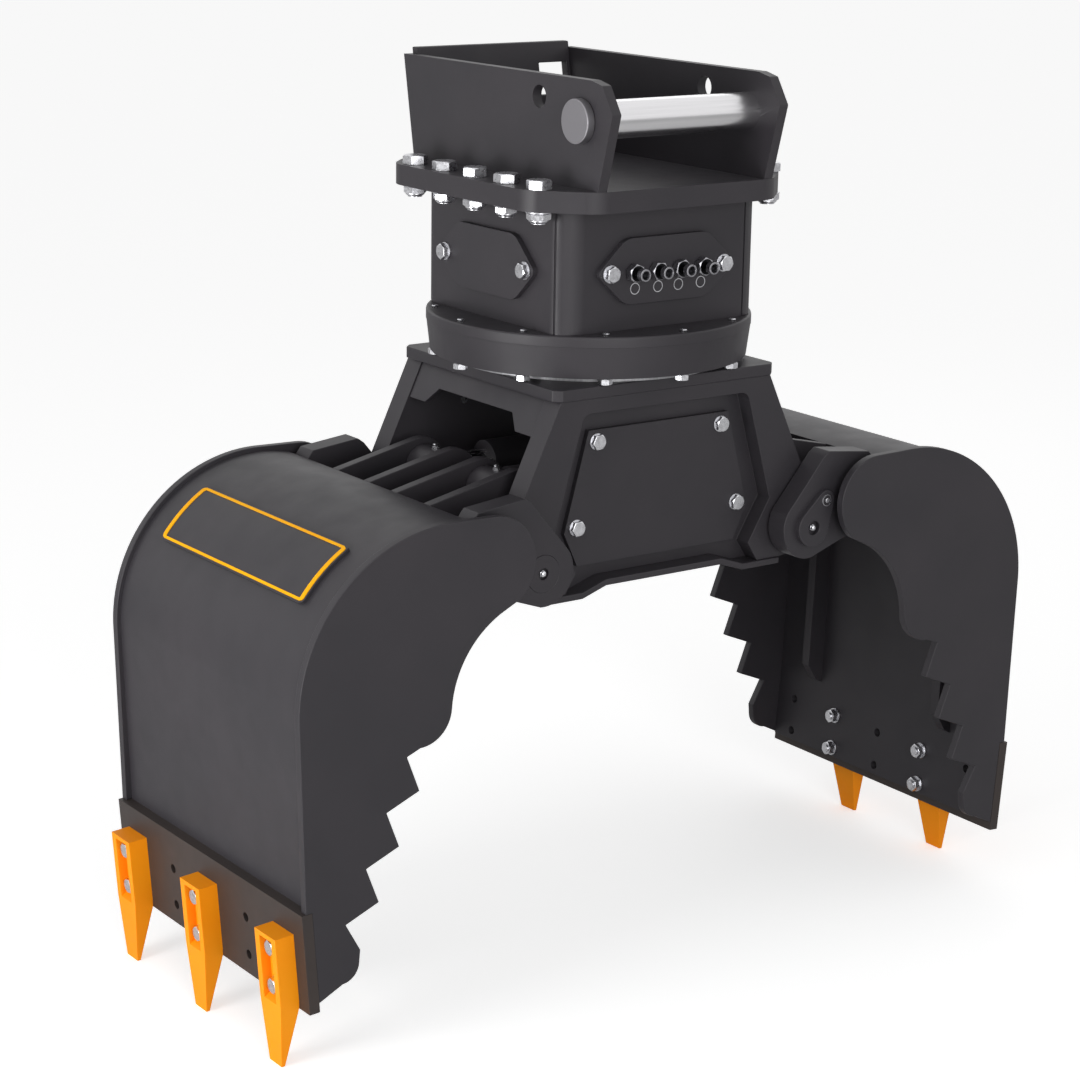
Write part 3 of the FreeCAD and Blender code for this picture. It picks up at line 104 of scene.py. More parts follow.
def powder_coat(name, dark, light, rough, density):
    """Powder-coated steel plate: an even satin film with a faint orange peel, dusty in broad patches."""
    material, tree, shader, place = new_material(name)
    dust = between(tree, noise(tree, place, 160.0, 3.0), 0.0, 1.0)
    tree.links.new(mix(tree, dust, paint(dark), paint(light)), shader.inputs["Base Color"])
    sheen = between(tree, noise(tree, place, 45.0, 4.0), rough - 0.04, rough + 0.05)
    tree.links.new(sheen, shader.inputs["Roughness"])
    # the peel of a powder film is 1 to 2 mm wide: drawn at 3 mm so that it shows
    peel = noise(tree, place, 3.0, 1.0)
    bump = add_node(tree, "ShaderNodeBump", {"Strength": 0.05, "Distance": 0.3 * MM}, {"Height": peel})
    tree.links.new(bump.outputs["Normal"], shader.inputs["Normal"])
    shader.inputs["IOR"].default_value = density
    return material


def bare_metal(name, dark, light, rough, grain_mm, stretch, relief=0.04):
    """Bare or plated metal whose grain is drawn out along the axis that has a small stretch."""
    material, tree, shader, place = new_material(name)
    lines = add_node(tree, "ShaderNodeMapping", {"Scale": stretch}, {"Vector": place}).outputs["Vector"]
    grain = noise(tree, lines, grain_mm, 3.0)
    shade = between(tree, grain, 0.0, 1.0)
    tree.links.new(mix(tree, shade, paint(dark), paint(light)), shader.inputs["Base Color"])
    tree.links.new(between(tree, grain, rough - 0.05, rough + 0.07), shader.inputs["Roughness"])
    bump = add_node(tree, "ShaderNodeBump", {"Strength": relief, "Distance": 0.1 * MM}, {"Height": grain})
    tree.links.new(bump.outputs["Normal"], shader.inputs["Normal"])
    shader.inputs["Metallic"].default_value = 1.0
    return material


EVEN = (1, 1, 1)
ALONG_X = (0.02, 1, 1)
ALONG_Z = (1, 1, 0.05)

# near-black satin that lets the edges catch the light
graphite = powder_coat("graphite_powder_coat", "#2e2c30", "#343135", 0.47, 1.4)
# a browner and duller black on the parts that wear
edge_steel = powder_coat("edge_primer", "#332d2b", "#3b3330", 0.5, 1.4)
# the one strong colour: flat, with hardly a highlight
tooth_enamel = powder_coat("orange_enamel", "#ff930a", "#ff9d12", 0.5, 1.25)
# yellower line round the name plate
border_enamel = powder_coat("yellow_enamel", "#ffb000", "#ffb806", 0.5, 1.25)
# pale bright screws that stand out from the plates
zinc = bare_metal("zinc_plated_steel", "#d0d0d4", "#e2e2e6", 0.28, 5.0, EVEN, 0.01)
# smooth bright shanks
ground_pin = bare_metal("ground_pin_steel", "#dbdadc", "#e4e3e5", 0.24, 3.0, ALONG_X, 0.002)
# greyer and softer than zinc
fitting_steel = bare_metal("phosphated_fitting_steel", "#9c9ba0", "#adacb1", 0.3, 4.0, EVEN, 0.02)
# painted shade: near-black metal on each fitting's neck and over the front of its hexagon behind the nose,
# standing in for the shade that falls there
neck_shade_paint = bare_metal("painted_shade_steel", "#1b1b1d", "#2a2a2c", 0.35, 3.0, EVEN)
# machined parts inside
turned_steel = bare_metal("turned_steel", "#8f8f92", "#a8a8aa", 0.35, 2.0, ALONG_Z, 0.008)
# warm yellow-brown bushes
bronze = bare_metal("bearing_bronze", "#a9793c", "#c0904e", 0.35, 2.0, EVEN)


def capped_pin_steel():
    """Ground pin steel whose turned end caps are duller and darker than the shank."""
    material = bare_metal("carrier_pin_steel", "#dbdadc", "#e4e3e5", 0.24, 3.0, ALONG_X, 0.006)
    tree = material.node_tree
    shader = tree.nodes["Principled BSDF"]
    place = add_node(tree, "ShaderNodeTexCoord").outputs["Object"]
    along = add_node(tree, "ShaderNodeSeparateXYZ", None, {"Vector": place}).outputs["X"]
    out = add_node(tree, "ShaderNodeMath", {"operation": "ABSOLUTE"}, {0: along}).outputs["Value"]
    cap = between(tree, out, 0.0, 1.0, 143.4 * MM, 143.8 * MM)
    bright = shader.inputs["Base Color"].links[0].from_socket
    tree.links.new(mix(tree, cap, bright, paint("#918f93")), shader.inputs["Base Color"])
    tree.links.new(between(tree, cap, 0.24, 0.5, 0.0, 1.0), shader.inputs["Roughness"])
    return material


carrier_steel = capped_pin_steel()
MATERIALS = {"graphite_paint": graphite, "wear_steel": edge_steel, "orange_teeth": tooth_enamel,
             "zinc_fastener": zinc, "polished_steel": ground_pin, "dark_fitting": fitting_steel,
             "machined_steel": turned_steel, "bronze": bronze}
slot_of = {row["node"]: row["material_slot"] for row in frame["record"]["subparts"]}
body_of = {node: body for body, nodes in frame["record"]["behaviour"]["bodies"].items() for node in nodes}


# Making pieces
def as_piece(name, mesh, body, material=None):
    piece = bpy.data.objects.new(name, mesh)
    bpy.context.scene.collection.objects.link(piece)
    if material is not None:
        mesh.materials.clear()
        mesh.materials.append(material)
    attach(piece, body)
    return piece


def finished_mesh(piece):
    """The evaluated mesh of an object, as a plain mesh with no modifiers."""
    bpy.context.view_layer.update()
    view = piece.evaluated_get(bpy.context.evaluated_depsgraph_get())
    return bpy.data.meshes.new_from_object(view)


def clean_copy(node):
    """Merged copy of a CAD node's loose triangles, with flat areas joined."""
    mesh = frame["nodes"][node].data.copy()
    work = bmesh.new()
    work.from_mesh(mesh)
    bmesh.ops.remove_doubles(work, verts=work.verts, dist=0.00002)
    bmesh.ops.dissolve_limit(work, angle_limit=math.radians(0.5), verts=work.verts, edges=work.edges)
    work.to_mesh(mesh)
    work.free()
    return mesh


def round_corners(mesh, chosen, width_mm, steps):
    """Rounds the edges whose two ends, in mm, pass the test."""
    work = bmesh.new()
    work.from_mesh(mesh)
    edges = [e for e in work.edges if chosen(*(v.co / MM for v in e.verts))]
    bmesh.ops.bevel(work, geom=edges, offset=width_mm * MM, offset_type="OFFSET", segments=steps,
                    profile=0.5, affect="EDGES", clamp_overlap=True)
    work.to_mesh(mesh)
    work.free()


def lies_along(a, b, axis):
    """True for an edge parallel to one axis, given by number."""
    return all(abs(a[i] - b[i]) < 0.1 for i in range(3) if i != axis)


# Half widths and levels of the CAD pieces, in mm, by which their corner edges are known
PLATE_HALF, HOUSING_HALF, FLANGE_R, FLANGE_TOP = 212.0, 165.0, 223.0, 890.0
COVER_HALF, COVER_FLAT, COVER_LEVEL = 115.0, 67.5, 968.0
NEAR = 0.5


def at_ear_nose(a, b):
    return lies_along(a, b, 0) and a.y < -190 and a.z > 1150


def at_plate_corner(a, b):
    return lies_along(a, b, 2) and max(abs(a.x), abs(a.y)) > PLATE_HALF - NEAR


def at_housing_corner(a, b):
    outermost, other = max(abs(a.x), abs(a.y)), min(abs(a.x), abs(a.y))
    return lies_along(a, b, 2) and outermost > HOUSING_HALF - NEAR and other > 130


def at_flange_rim(a, b):
    return min(a.xy.length, b.xy.length) > FLANGE_R - 1 and min(a.z, b.z) > FLANGE_TOP - NEAR


def at_cover_corner(a, b):
    axis = 0 if a.x < -160 else 1
    across = abs(a.y) if axis == 0 else abs(a.x)
    at_tip = across > COVER_HALF - 1
    at_shoulder = abs(across - COVER_FLAT) < 1 and abs(a.z - COVER_LEVEL) > 40
    return lies_along(a, b, axis) and (at_tip or at_shoulder)


# Which edges are rounded on a piece, how far in mm, and in how many steps
ROUNDED = {"bracket_ear_left": (at_ear_nose, 10.5, 4), "bracket_ear_right": (at_ear_nose, 10.5, 4),
           "head_top_plate": (at_plate_corner, 18.0, 6), "bracket_plate": (at_plate_corner, 18.0, 6),
           "head_housing": (at_housing_corner, 11.0, 5), "ring_flange": (at_flange_rim, 3.5, 3),
           "head_inspection_cover": (at_cover_corner, 10.0, 5),
           "head_port_plate": (at_cover_corner, 10.0, 5)}


def bars(boxes):
    """Cutter of plain bars, each (x low, x high, y low, y high, z low, z high) in mm."""
    sides = ((0, 1, 3, 2), (4, 6, 7, 5), (0, 4, 5, 1), (2, 3, 7, 6), (0, 2, 6, 4), (1, 5, 7, 3))
    verts, faces = [], []
    for box in boxes:
        first = len(verts)
        verts += [(x * MM, y * MM, z * MM) for x in box[:2] for y in box[2:4] for z in box[4:]]
        faces += [tuple(first + i for i in side) for side in sides]
    mesh = bpy.data.meshes.new("bars")
    mesh.from_pydata(verts, [], faces)
    return bpy.data.objects.new("bars", mesh)


# Seams where the bent side plates of the housing meet, and short slots in the back of each jaw
CUT = 1.5
SEAM_SIDE, SEAM_FRONT = 146.0, 137.0
SEAM_DEEP, SEAM_OUT = 161.5, 170
SEAM_LEVELS = (880, 1060)
SLOT_LEVELS = (215, 250)
GROOVES = {"head_housing": [(-SEAM_OUT, -SEAM_DEEP, -SEAM_SIDE - CUT, -SEAM_SIDE + CUT, *SEAM_LEVELS),
                            (SEAM_FRONT - CUT, SEAM_FRONT + CUT, -SEAM_OUT, -SEAM_DEEP, *SEAM_LEVELS),
                            (SEAM_DEEP, SEAM_OUT, SEAM_SIDE - CUT, SEAM_SIDE + CUT, *SEAM_LEVELS),
                            (-SEAM_FRONT - CUT, -SEAM_FRONT + CUT, SEAM_DEEP, SEAM_OUT, *SEAM_LEVELS)],
           "left_jaw_shell": [(-609, -600, y - CUT, y + CUT, *SLOT_LEVELS) for y in (129, -157)],
           "right_jaw_shell": [(600, 609, y - CUT, y + CUT, *SLOT_LEVELS) for y in (-129, 157)]}

EASE_STEPS = 2
EASE_ANGLE = math.radians(28.0)
ROD_EYE_FROM = 170 * MM


def ease_edges(node, width_mm):
    """Replaces a CAD piece by the same piece with softened edges, as flame-cut and coated plate has."""
    start = clean_copy(node)
    if node in ROUNDED:
        round_corners(start, *ROUNDED[node])
    rough = bpy.data.objects.new("rough", start)
    bpy.context.scene.collection.objects.link(rough)
    for face in rough.data.polygons:
        face.use_smooth = True
    if node in GROOVES:
        cutter = bars(GROOVES[node])
        bpy.context.scene.collection.objects.link(cutter)
        groove = rough.modifiers.new("grooves", "BOOLEAN")
        groove.object = cutter
        groove.solver = "EXACT"
    bevel = rough.modifiers.new("ease", "BEVEL")
    bevel.width = width_mm * MM
    bevel.segments = EASE_STEPS
    bevel.limit_method = "ANGLE"
    bevel.angle_limit = EASE_ANGLE
    bevel.use_clamp_overlap = True
    shade = rough.modifiers.new("shade", "WEIGHTED_NORMAL")
    shade.keep_sharp = True
    mesh = finished_mesh(rough)
    bpy.data.objects.remove(rough)
    if node in GROOVES:
        bpy.data.objects.remove(cutter)
    piece = as_piece(node + "_plate", mesh, body_of[node], MATERIALS[slot_of[node]])
    if node == "carrier_pin":
        piece.data.materials[0] = carrier_steel
    if node.endswith("_rod"):
        # the eye is painted, the rod is bare
        piece.data.materials.append(graphite)
        for face in piece.data.polygons:
            face.material_index = int(abs(face.center.x) > ROD_EYE_FROM)
    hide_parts(node)


# Pieces by the width of their eased edges, in mm
EASED = {1.5: ("frame_top_plate", "frame_side_near", "frame_side_far", "frame_bottom_plate",
               "frame_cover_near", "frame_cover_far", "frame_end_left", "frame_end_right",
               "head_inspection_cover", "head_port_plate", "head_housing",
               "bracket_cross_plate", "bracket_ear_left", "bracket_ear_right",
               "ring_outer", "ring_flange", "carrier_pin",
               "left_jaw_cutting_plate", "right_jaw_cutting_plate", "left_jaw_teeth", "right_jaw_teeth"),
         1.2: ("head_top_plate", "bracket_plate", "left_jaw_shell", "right_jaw_shell",
               "left_jaw_side_near", "left_jaw_side_far", "right_jaw_side_near", "right_jaw_side_far",
               "left_jaw_hinge_lugs", "right_jaw_hinge_lugs", "left_jaw_horn_ribs", "right_jaw_horn_ribs",
               "timing_link", "near_cylinder_barrel", "far_cylinder_barrel",
               "near_cylinder_rod", "far_cylinder_rod")}
for width, nodes in EASED.items():
    for node in nodes:
        ease_edges(node, width)
for node, item in frame["nodes"].items():
    item.data.materials.clear()
    item.data.materials.append(MATERIALS[slot_of[node]])

# Fastener shapes: closed stacks of rings, each with the same number of points
AROUND = 24


def angle_at(i, count=AROUND):
    return 2 * math.pi * i / count


def hex_radius(flats, angle):
    """Distance from the centre to the side of a hexagon with this width across flats."""
    sixth = math.pi / 3
    return flats / 2 / math.cos((angle + sixth / 2) % sixth - sixth / 2)


def round_ring(radius, level, count=AROUND):
    return [(radius * math.cos(angle_at(i, count)), radius * math.sin(angle_at(i, count)), level)
            for i in range(count)]


def hex_ring(flats, level, drop=0.0, limit=None):
    """Hexagon whose corners are taken down to a cone that starts at the limit radius."""
    ring = []
    for i in range(AROUND):
        radius = hex_radius(flats, angle_at(i))
        height = level
        if limit is not None:
            height -= drop * max(radius - limit, 0.0)
        ring.append((radius * math.cos(angle_at(i)), radius * math.sin(angle_at(i)), height))
    return ring


def add_stack(verts, faces, rings):
    """Closes a stack of rings, lowest first, into one solid; a stack that ends where it began is a band."""
    start, count = len(verts), len(rings[0])
    band = rings[0] is rings[-1]
    if band:
        rings = rings[:-1]
    for ring in rings:
        verts.extend(ring)
    for row in range(len(rings) if band else len(rings) - 1):
        low, high = start + row * count, start + (row + 1) % len(rings) * count
        for i in range(count):
            j = (i + 1) % count
            faces.append((low + i, low + j, high + j, high + i))
    if not band:
        faces.append(tuple(start + i for i in reversed(range(count))))
        last = start + (len(rings) - 1) * count
        faces.append(tuple(last + i for i in range(count)))


def stack_mesh(name, stacks):
    verts, faces = [], []
    for rings in stacks:
        add_stack(verts, faces, rings)
    mesh = bpy.data.meshes.new(name)
    mesh.from_pydata([[c * MM for c in v] for v in verts], [], faces)
    for face in mesh.polygons:
        face.use_smooth = True
    mesh.set_sharp_from_angle(angle=math.radians(30))
    return mesh


def hexagon(flats, low, high, lower_cut=False):
    """Hexagonal head or nut with its corners chamfered as a lathe leaves them."""
    limit = flats * 0.485
    rings = [hex_ring(flats, low)]
    if lower_cut:
        rings = [round_ring(limit, low), hex_ring(flats, low, -0.577, limit)]
    rings += [hex_ring(flats, high, 0.577, limit), round_ring(limit, high), round_ring(limit - 0.6, high)]
    return rings


def disc(radius, low, high, ease=0.4):
    return [round_ring(radius - ease, low), round_ring(radius, low + ease),
            round_ring(radius, high - ease), round_ring(radius - ease, high)]


def threaded(radius, low, high, pitch=2.0, tip=1.0):
    """Shank whose thread is drawn as plain grooves, with a pointed-off end."""
    rings = [round_ring(radius, low)]
    count = int((high - low - tip) / pitch)
    for i in range(count):
        level = low + i * pitch
        rings += [round_ring(radius, level + 0.35 * pitch),
                  round_ring(radius - 0.5 * pitch * 0.6, level + 0.75 * pitch)]
    rings += [round_ring(radius, high - tip), round_ring(radius - tip, high)]
    return rings


def fasten_tree():
    """Geometry Nodes: sets one fastener on every point, turned along the point's facing."""
    tree = bpy.data.node_groups.new("fasten", "GeometryNodeTree")
    tree.interface.new_socket("Geometry", in_out="INPUT", socket_type="NodeSocketGeometry")
    wanted = (("Fastener", "NodeSocketObject"), ("Scale", "NodeSocketFloat"),
              ("Finish", "NodeSocketMaterial"))
    for name, kind in wanted:
        tree.interface.new_socket(name, in_out="INPUT", socket_type=kind)
    tree.interface.new_socket("Geometry", in_out="OUTPUT", socket_type="NodeSocketGeometry")
    start = add_node(tree, "NodeGroupInput")
    stop = add_node(tree, "NodeGroupOutput")
    spots = add_node(tree, "GeometryNodeMeshToPoints", None, {"Mesh": start.outputs["Geometry"]})
    item = add_node(tree, "GeometryNodeObjectInfo", None, {"Object": start.outputs["Fastener"]})
    facing = add_node(tree, "GeometryNodeInputNamedAttribute",
                      {"data_type": "FLOAT_VECTOR", "Name": "facing"})
    turn = add_node(tree, "GeometryNodeInputNamedAttribute", {"data_type": "FLOAT", "Name": "turn"})
    align = add_node(tree, "FunctionNodeAlignRotationToVector", {"axis": "Z"})
    tree.links.new(facing.outputs["Attribute"], align.inputs["Vector"])
    twist = add_node(tree, "FunctionNodeAxisAngleToRotation", {"Axis": (0, 0, 1)})
    tree.links.new(turn.outputs["Attribute"], twist.inputs["Angle"])
    both = add_node(tree, "FunctionNodeRotateRotation", {"rotation_space": "LOCAL"})
    tree.links.new(align.outputs["Rotation"], both.inputs["Rotation"])
    tree.links.new(twist.outputs["Rotation"], both.inputs["Rotate By"])
    put = add_node(tree, "GeometryNodeInstanceOnPoints", None,
                   {"Points": spots.outputs["Points"], "Instance": item.outputs["Geometry"],
                    "Rotation": both.outputs["Rotation"], "Scale": start.outputs["Scale"]})
    real = add_node(tree, "GeometryNodeRealizeInstances", None, {"Geometry": put.outputs["Instances"]})
    coat = add_node(tree, "GeometryNodeSetMaterial", None,
                    {"Geometry": real.outputs["Geometry"], "Material": start.outputs["Finish"]})
    tree.links.new(coat.outputs["Geometry"], stop.inputs["Geometry"])
    return tree


FASTEN = fasten_tree()
SOCKETS = {item.name: item.identifier for item in FASTEN.interface.items_tree if item.in_out == "INPUT"}


def fasteners(name, body, shape, places, finish, slot, *nodes):
    """One plain mesh of equal fasteners; a place is (point in mm, facing, turn in degrees)."""
    spots = bpy.data.meshes.new("spots")
    spots.from_pydata([[c * MM for c in point] for point, facing, turn in places], [], [])
    spots.attributes.new("facing", "FLOAT_VECTOR", "POINT")
    spots.attributes.new("turn", "FLOAT", "POINT")
    for i, (point, facing, turn) in enumerate(places):
        spots.attributes["facing"].data[i].vector = facing
        spots.attributes["turn"].data[i].value = math.radians(turn)
    sample = bpy.data.objects.new("sample", shape)
    holder = bpy.data.objects.new("holder", spots)
    bpy.context.scene.collection.objects.link(holder)
    modifier = holder.modifiers.new("fasten", "NODES")
    modifier.node_group = FASTEN
    modifier[SOCKETS["Fastener"]] = sample
    modifier[SOCKETS["Scale"]] = 1.0
    modifier[SOCKETS["Finish"]] = finish
    mesh = finished_mesh(holder)
    bpy.data.objects.remove(holder)
    bpy.data.objects.remove(sample)
    piece = as_piece(name, mesh, body, finish)
    for node in nodes:
        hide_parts(node)


def spread(count, seed):
    """Turns in degrees that look tightened by hand, the same on every run."""
    return [(seed * 37 + i * 23) % 60 for i in range(count)]


def half_turned(places):
    """The same places after half a turn about the upright axis."""
    return [((-p[0], -p[1], p[2]), (-f[0], -f[1], f[2]), t) for p, f, t in places]


# Bracket bolts and their lock nuts
HEAD_TOP, PLATE = 1053.5, 14.0
BOLT_ROW, BOLT_STEP = 190.0, 73.0
bolt_spots = [(BOLT_ROW * side, BOLT_STEP * i) for side in (-1, 1) for i in (-2, -1, 0, 1, 2)]
bolt = stack_mesh("bracket_bolt", [hexagon(30, 0.8, 12.5), disc(14.5, 0, 0.9, 0.2), threaded(9.9, -44, -2)])
bolt_places = [((x, y, HEAD_TOP + 2 * PLATE), (0, 0, 1), t) for (x, y), t in zip(bolt_spots, spread(10, 1))]
fasteners("bracket_bolt_set", "head", bolt, bolt_places, zinc, "zinc_fastener", "bracket_bolts")
nut_flange = [round_ring(16.4, 0), round_ring(17, 0.5), round_ring(17, 1.6), round_ring(14.4, 3.6)]
nut_collar = [round_ring(13, 11), round_ring(13, 12.6), round_ring(11, 14.5)]
nut = stack_mesh("lock_nut", [nut_flange, hexagon(28, 3.2, 11.2), nut_collar])
nut_places = [((x, y, HEAD_TOP), (0, 0, -1), t) for (x, y), t in zip(bolt_spots, spread(10, 2))]
fasteners("bracket_nut_set", "head", nut, nut_places, zinc, "zinc_fastener", "bracket_nuts")

# Slewing ring screws
RING_SCREWS, SCREW_CIRCLE, RING_UNDERSIDE = 12, 211, 833
ring_screw = stack_mesh("ring_screw", [hexagon(17, -8, 0, True), threaded(4.9, 0, 60, 3.0)])
ring_places = []
for i, turn in enumerate(spread(RING_SCREWS, 3)):
    angle = math.radians(360 / RING_SCREWS * i)
    x, y = SCREW_CIRCLE * math.cos(angle), SCREW_CIRCLE * math.sin(angle)
    ring_places.append(((x, y, RING_UNDERSIDE), (0, 0, 1), turn))
fasteners("ring_screw_set", "head", ring_screw, ring_places, zinc, "zinc_fastener", "ring_screws")

# Screws of the head's covers, then of the frame's covers
COVER_FACE, COVER_SCREW, FRAME_FACE = 173, 94, 166
cover_screw = stack_mesh("cover_screw",
                         [disc(12, 0, 2.4, 0.3), hexagon(19, 2.5, 10.2), threaded(5.9, -20, 0)])
places = [((-COVER_FACE, side * COVER_SCREW, COVER_LEVEL), (-1, 0, 0), 12 + 20 * side) for side in (-1, 1)]
places += [((side * COVER_SCREW, -COVER_FACE, COVER_LEVEL), (0, -1, 0), 8 + 14 * side) for side in (-1, 1)]
fasteners("head_cover_screw_set", "head", cover_screw, places, zinc, "zinc_fastener", "head_cover_screws")
flat_screw = stack_mesh("frame_screw", [disc(11.4, 0, 1.4, 0.3), hexagon(19, 1.2, 8), threaded(5.9, -18, 0)])
places = []
for side in (-1, 1):
    for x, z in ((104.5, 745), (135.8, 631.3)):
        y = FRAME_FACE * side
        places += [((x, y, z), (0, side, 0), 10), ((-x, y, z), (0, side, 0), 35)]
fasteners("frame_screw_set", "frame", flat_screw, places, zinc, "zinc_fastener", "frame_cover_bolts")

# Port fittings: hexagon with a collar, and an open nose on a neck; the neck and a thin disc over the hexagon's
# front are painted near-black as shade
PORT_STEP, PORT_LEVEL, MARK_LEVEL = 38, 967, 945.5
nose = [round_ring(6, 20), round_ring(7.8, 20), round_ring(8.4, 20.6), round_ring(8.4, 28.4)]
nose += [round_ring(7.8, 29), round_ring(6.2, 29), round_ring(5.4, 27), round_ring(5.4, 20)]
nose.append(nose[0])
fitting = stack_mesh("port_fitting", [hexagon(22, 1.2, 12), disc(10.2, 0, 1.4, 0.3), nose])
neck = stack_mesh("port_neck",
                  [disc(10.4, 11.9, 12.5, 0.2), disc(6.6, 12.3, 21, 0.2), disc(5.4, 20.8, 22, 0.2)])
places = [((PORT_STEP * (i - 1.5), -COVER_FACE, PORT_LEVEL), (0, -1, 0), 7 + 19 * i) for i in range(4)]
fasteners("port_fitting_set", "head", fitting, places, fitting_steel, "dark_fitting", "head_port_fittings")
# painted shade: the necks and hexagon fronts get the near-black metal that stands in for the shade round each
# nose
fasteners("port_neck_set", "head", neck, places, neck_shade_paint, "dark_fitting")

# Bare ring marks under the ports
band = [round_ring(7.8, 0), round_ring(7.8, 0.5), round_ring(6.7, 0.5), round_ring(6.7, 0)]
band.append(band[0])
mark = stack_mesh("ring_mark", [band])
places = [((x, -COVER_FACE, MARK_LEVEL), (0, -1, 0), 0) for x in (-53, -15, 19, 56.5)]
fasteners("port_ring_marks", "head", mark, places, zinc, "zinc_fastener")


# Keeper flags over the hinge pins: a drop-shaped plate with a greasing well, held by one screw
FLAG_AROUND = 72
FLAG_SCREW = Vector((20.9, 37.0))
FLAG_THICK = 8


def drop_ring(level, inset=0.0):
    """Outline round the pin's end and the screw, found by halving along each ray from the pin's centre."""
    screw, screw_r, pin_r = FLAG_SCREW, 14.0 - inset, 27.0 - inset
    taper = (pin_r - screw_r) / math.sqrt(screw.length_squared - (pin_r - screw_r) ** 2)
    ring = []
    for i in range(FLAG_AROUND):
        angle = angle_at(i, FLAG_AROUND)
        way = Vector((math.cos(angle), math.sin(angle)))
        low, high = pin_r, 70.0
        for _ in range(24):
            middle = (low + high) / 2
            point = way * middle
            aside = abs(point.x * screw.y - point.y * screw.x) / screw.length
            share = min(max((point.dot(screw) / screw.length - aside * taper) / screw.length, 0.0), 1.0)
            inside = (point - screw * share).length < pin_r + (screw_r - pin_r) * share
            low, high = (middle, high) if inside else (low, middle)
        ring.append((way.x * low, way.y * low, level))
    return ring


flag = [drop_ring(0), drop_ring(7.2), drop_ring(FLAG_THICK, 0.8)]
flag += [round_ring(radius, level, FLAG_AROUND) for radius, level in ((10.6, FLAG_THICK), (10, 7.4), (10, 1.2))]
nipple = hexagon(8, 0.1, 4)
nipple += [round_ring(2.2, 4.5), round_ring(3.4, 5.4), round_ring(3.4, 6.2), round_ring(1.8, 7.2)]
rim = [round_ring(8.3, 0), round_ring(8.3, 1.2), round_ring(7.3, 1.2), round_ring(7.3, 0)]
rim.append(rim[0])
PIVOT_X, PIVOT_Z, LUG_FACE, WELL = 226.8, 594.6, 221.0, 5.0
grease_nipple = stack_mesh("grease_nipple", [nipple])
keeper_screw = stack_mesh("keeper_screw", [rim, disc(3.4, 0, 2.4, 0.5)])
for jaw, side in (("right_jaw", 1), ("left_jaw", -1)):
    x, y = PIVOT_X * side, LUG_FACE * side
    rings = [[(x + p[0] * side, -y - p[2] * side, PIVOT_Z + p[1]) for p in ring] for ring in flag]
    piece = as_piece(jaw + "_keeper_flag", stack_mesh("keeper_flag", [rings]), jaw, graphite)
    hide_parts(jaw + "_keeper")
    screw_at = (x + FLAG_SCREW.x * side, -y - FLAG_THICK * side, PIVOT_Z + FLAG_SCREW.y)
    fasteners(jaw + "_keeper_screw", jaw, keeper_screw, [(screw_at, (0, -side, 0), 0)], zinc, "zinc_fastener")
    fasteners(jaw + "_pin_nipples", jaw, grease_nipple,
              [((x, -y - 1.2 * side, PIVOT_Z), (0, -side, 0), 0),
               ((x, y - WELL * side, PIVOT_Z), (0, side, 0), 0)], zinc, "zinc_fastener")

# Grease nipples on the cylinder eyes
HORN_X, EYE_TOP, CYLINDER_Y = 202.0, 700.2, 74.0
for body, x, y in (("near_barrel", -HORN_X, -CYLINDER_Y), ("near_rod", HORN_X, -CYLINDER_Y),
                   ("far_barrel", HORN_X, CYLINDER_Y), ("far_rod", -HORN_X, CYLINDER_Y)):
    place = ((x, y, EYE_TOP - 0.5), (0, 0, 1), 0)
    fasteners(body + "_nipple", body, grease_nipple, [place], zinc, "zinc_fastener")


# Tooth fasteners, in the leaning frame of each cutting plate
LEAN = math.radians(4.5)
PLATE_FOOT_X, PLATE_FOOT_Z = 597.6, 80
HOLE_STEP, HOLE_LEVELS = 99.25, (29.1, 82.3)
TOOTH_FACE, NUT_FACE = 14, -27


def leaning(across, y, up):
    """Point given across, along and up the cutting plate, as it leans on the right jaw."""
    x = PLATE_FOOT_X + across * math.cos(LEAN) + up * math.sin(LEAN)
    return (x, y, PLATE_FOOT_Z + up * math.cos(LEAN) - across * math.sin(LEAN))


OUT = (math.cos(LEAN), 0, -math.sin(LEAN))
BACK = (-OUT[0], 0, -OUT[2])
tooth_bolt = stack_mesh("tooth_bolt", [disc(12.5, 0, 2, 0.3), hexagon(19, 2, 10), threaded(5.9, -56, 0)])
tooth_nut = stack_mesh("tooth_nut", [disc(12, 0, 2.5, 0.3), hexagon(19, 2.5, 12.5, True)])
for jaw, rows, turned in (("left_jaw", (-2, 0, 2), True), ("right_jaw", (-1, 1), False)):
    heads, nuts = [], []
    for i in rows:
        for level in HOLE_LEVELS:
            heads.append((leaning(TOOTH_FACE, HOLE_STEP * i, level), OUT, 11 * i + level % 30))
            nuts.append((leaning(NUT_FACE, HOLE_STEP * i, level), BACK, 17 * i + level % 25))
    if turned:
        heads, nuts = half_turned(heads), half_turned(nuts)
    fasteners(jaw + "_tooth_bolt_set", jaw, tooth_bolt, heads, zinc, "zinc_fastener", jaw + "_tooth_bolts")
    fasteners(jaw + "_tooth_nut_set", jaw, tooth_nut, nuts, zinc, "zinc_fastener", jaw + "_tooth_nuts")


# Bare name plate on the left jaw: a raised plate rolled to the back, with a yellow border
BACK_CENTRE = Vector((-390, 0, 472))
BAND_STEPS = 48


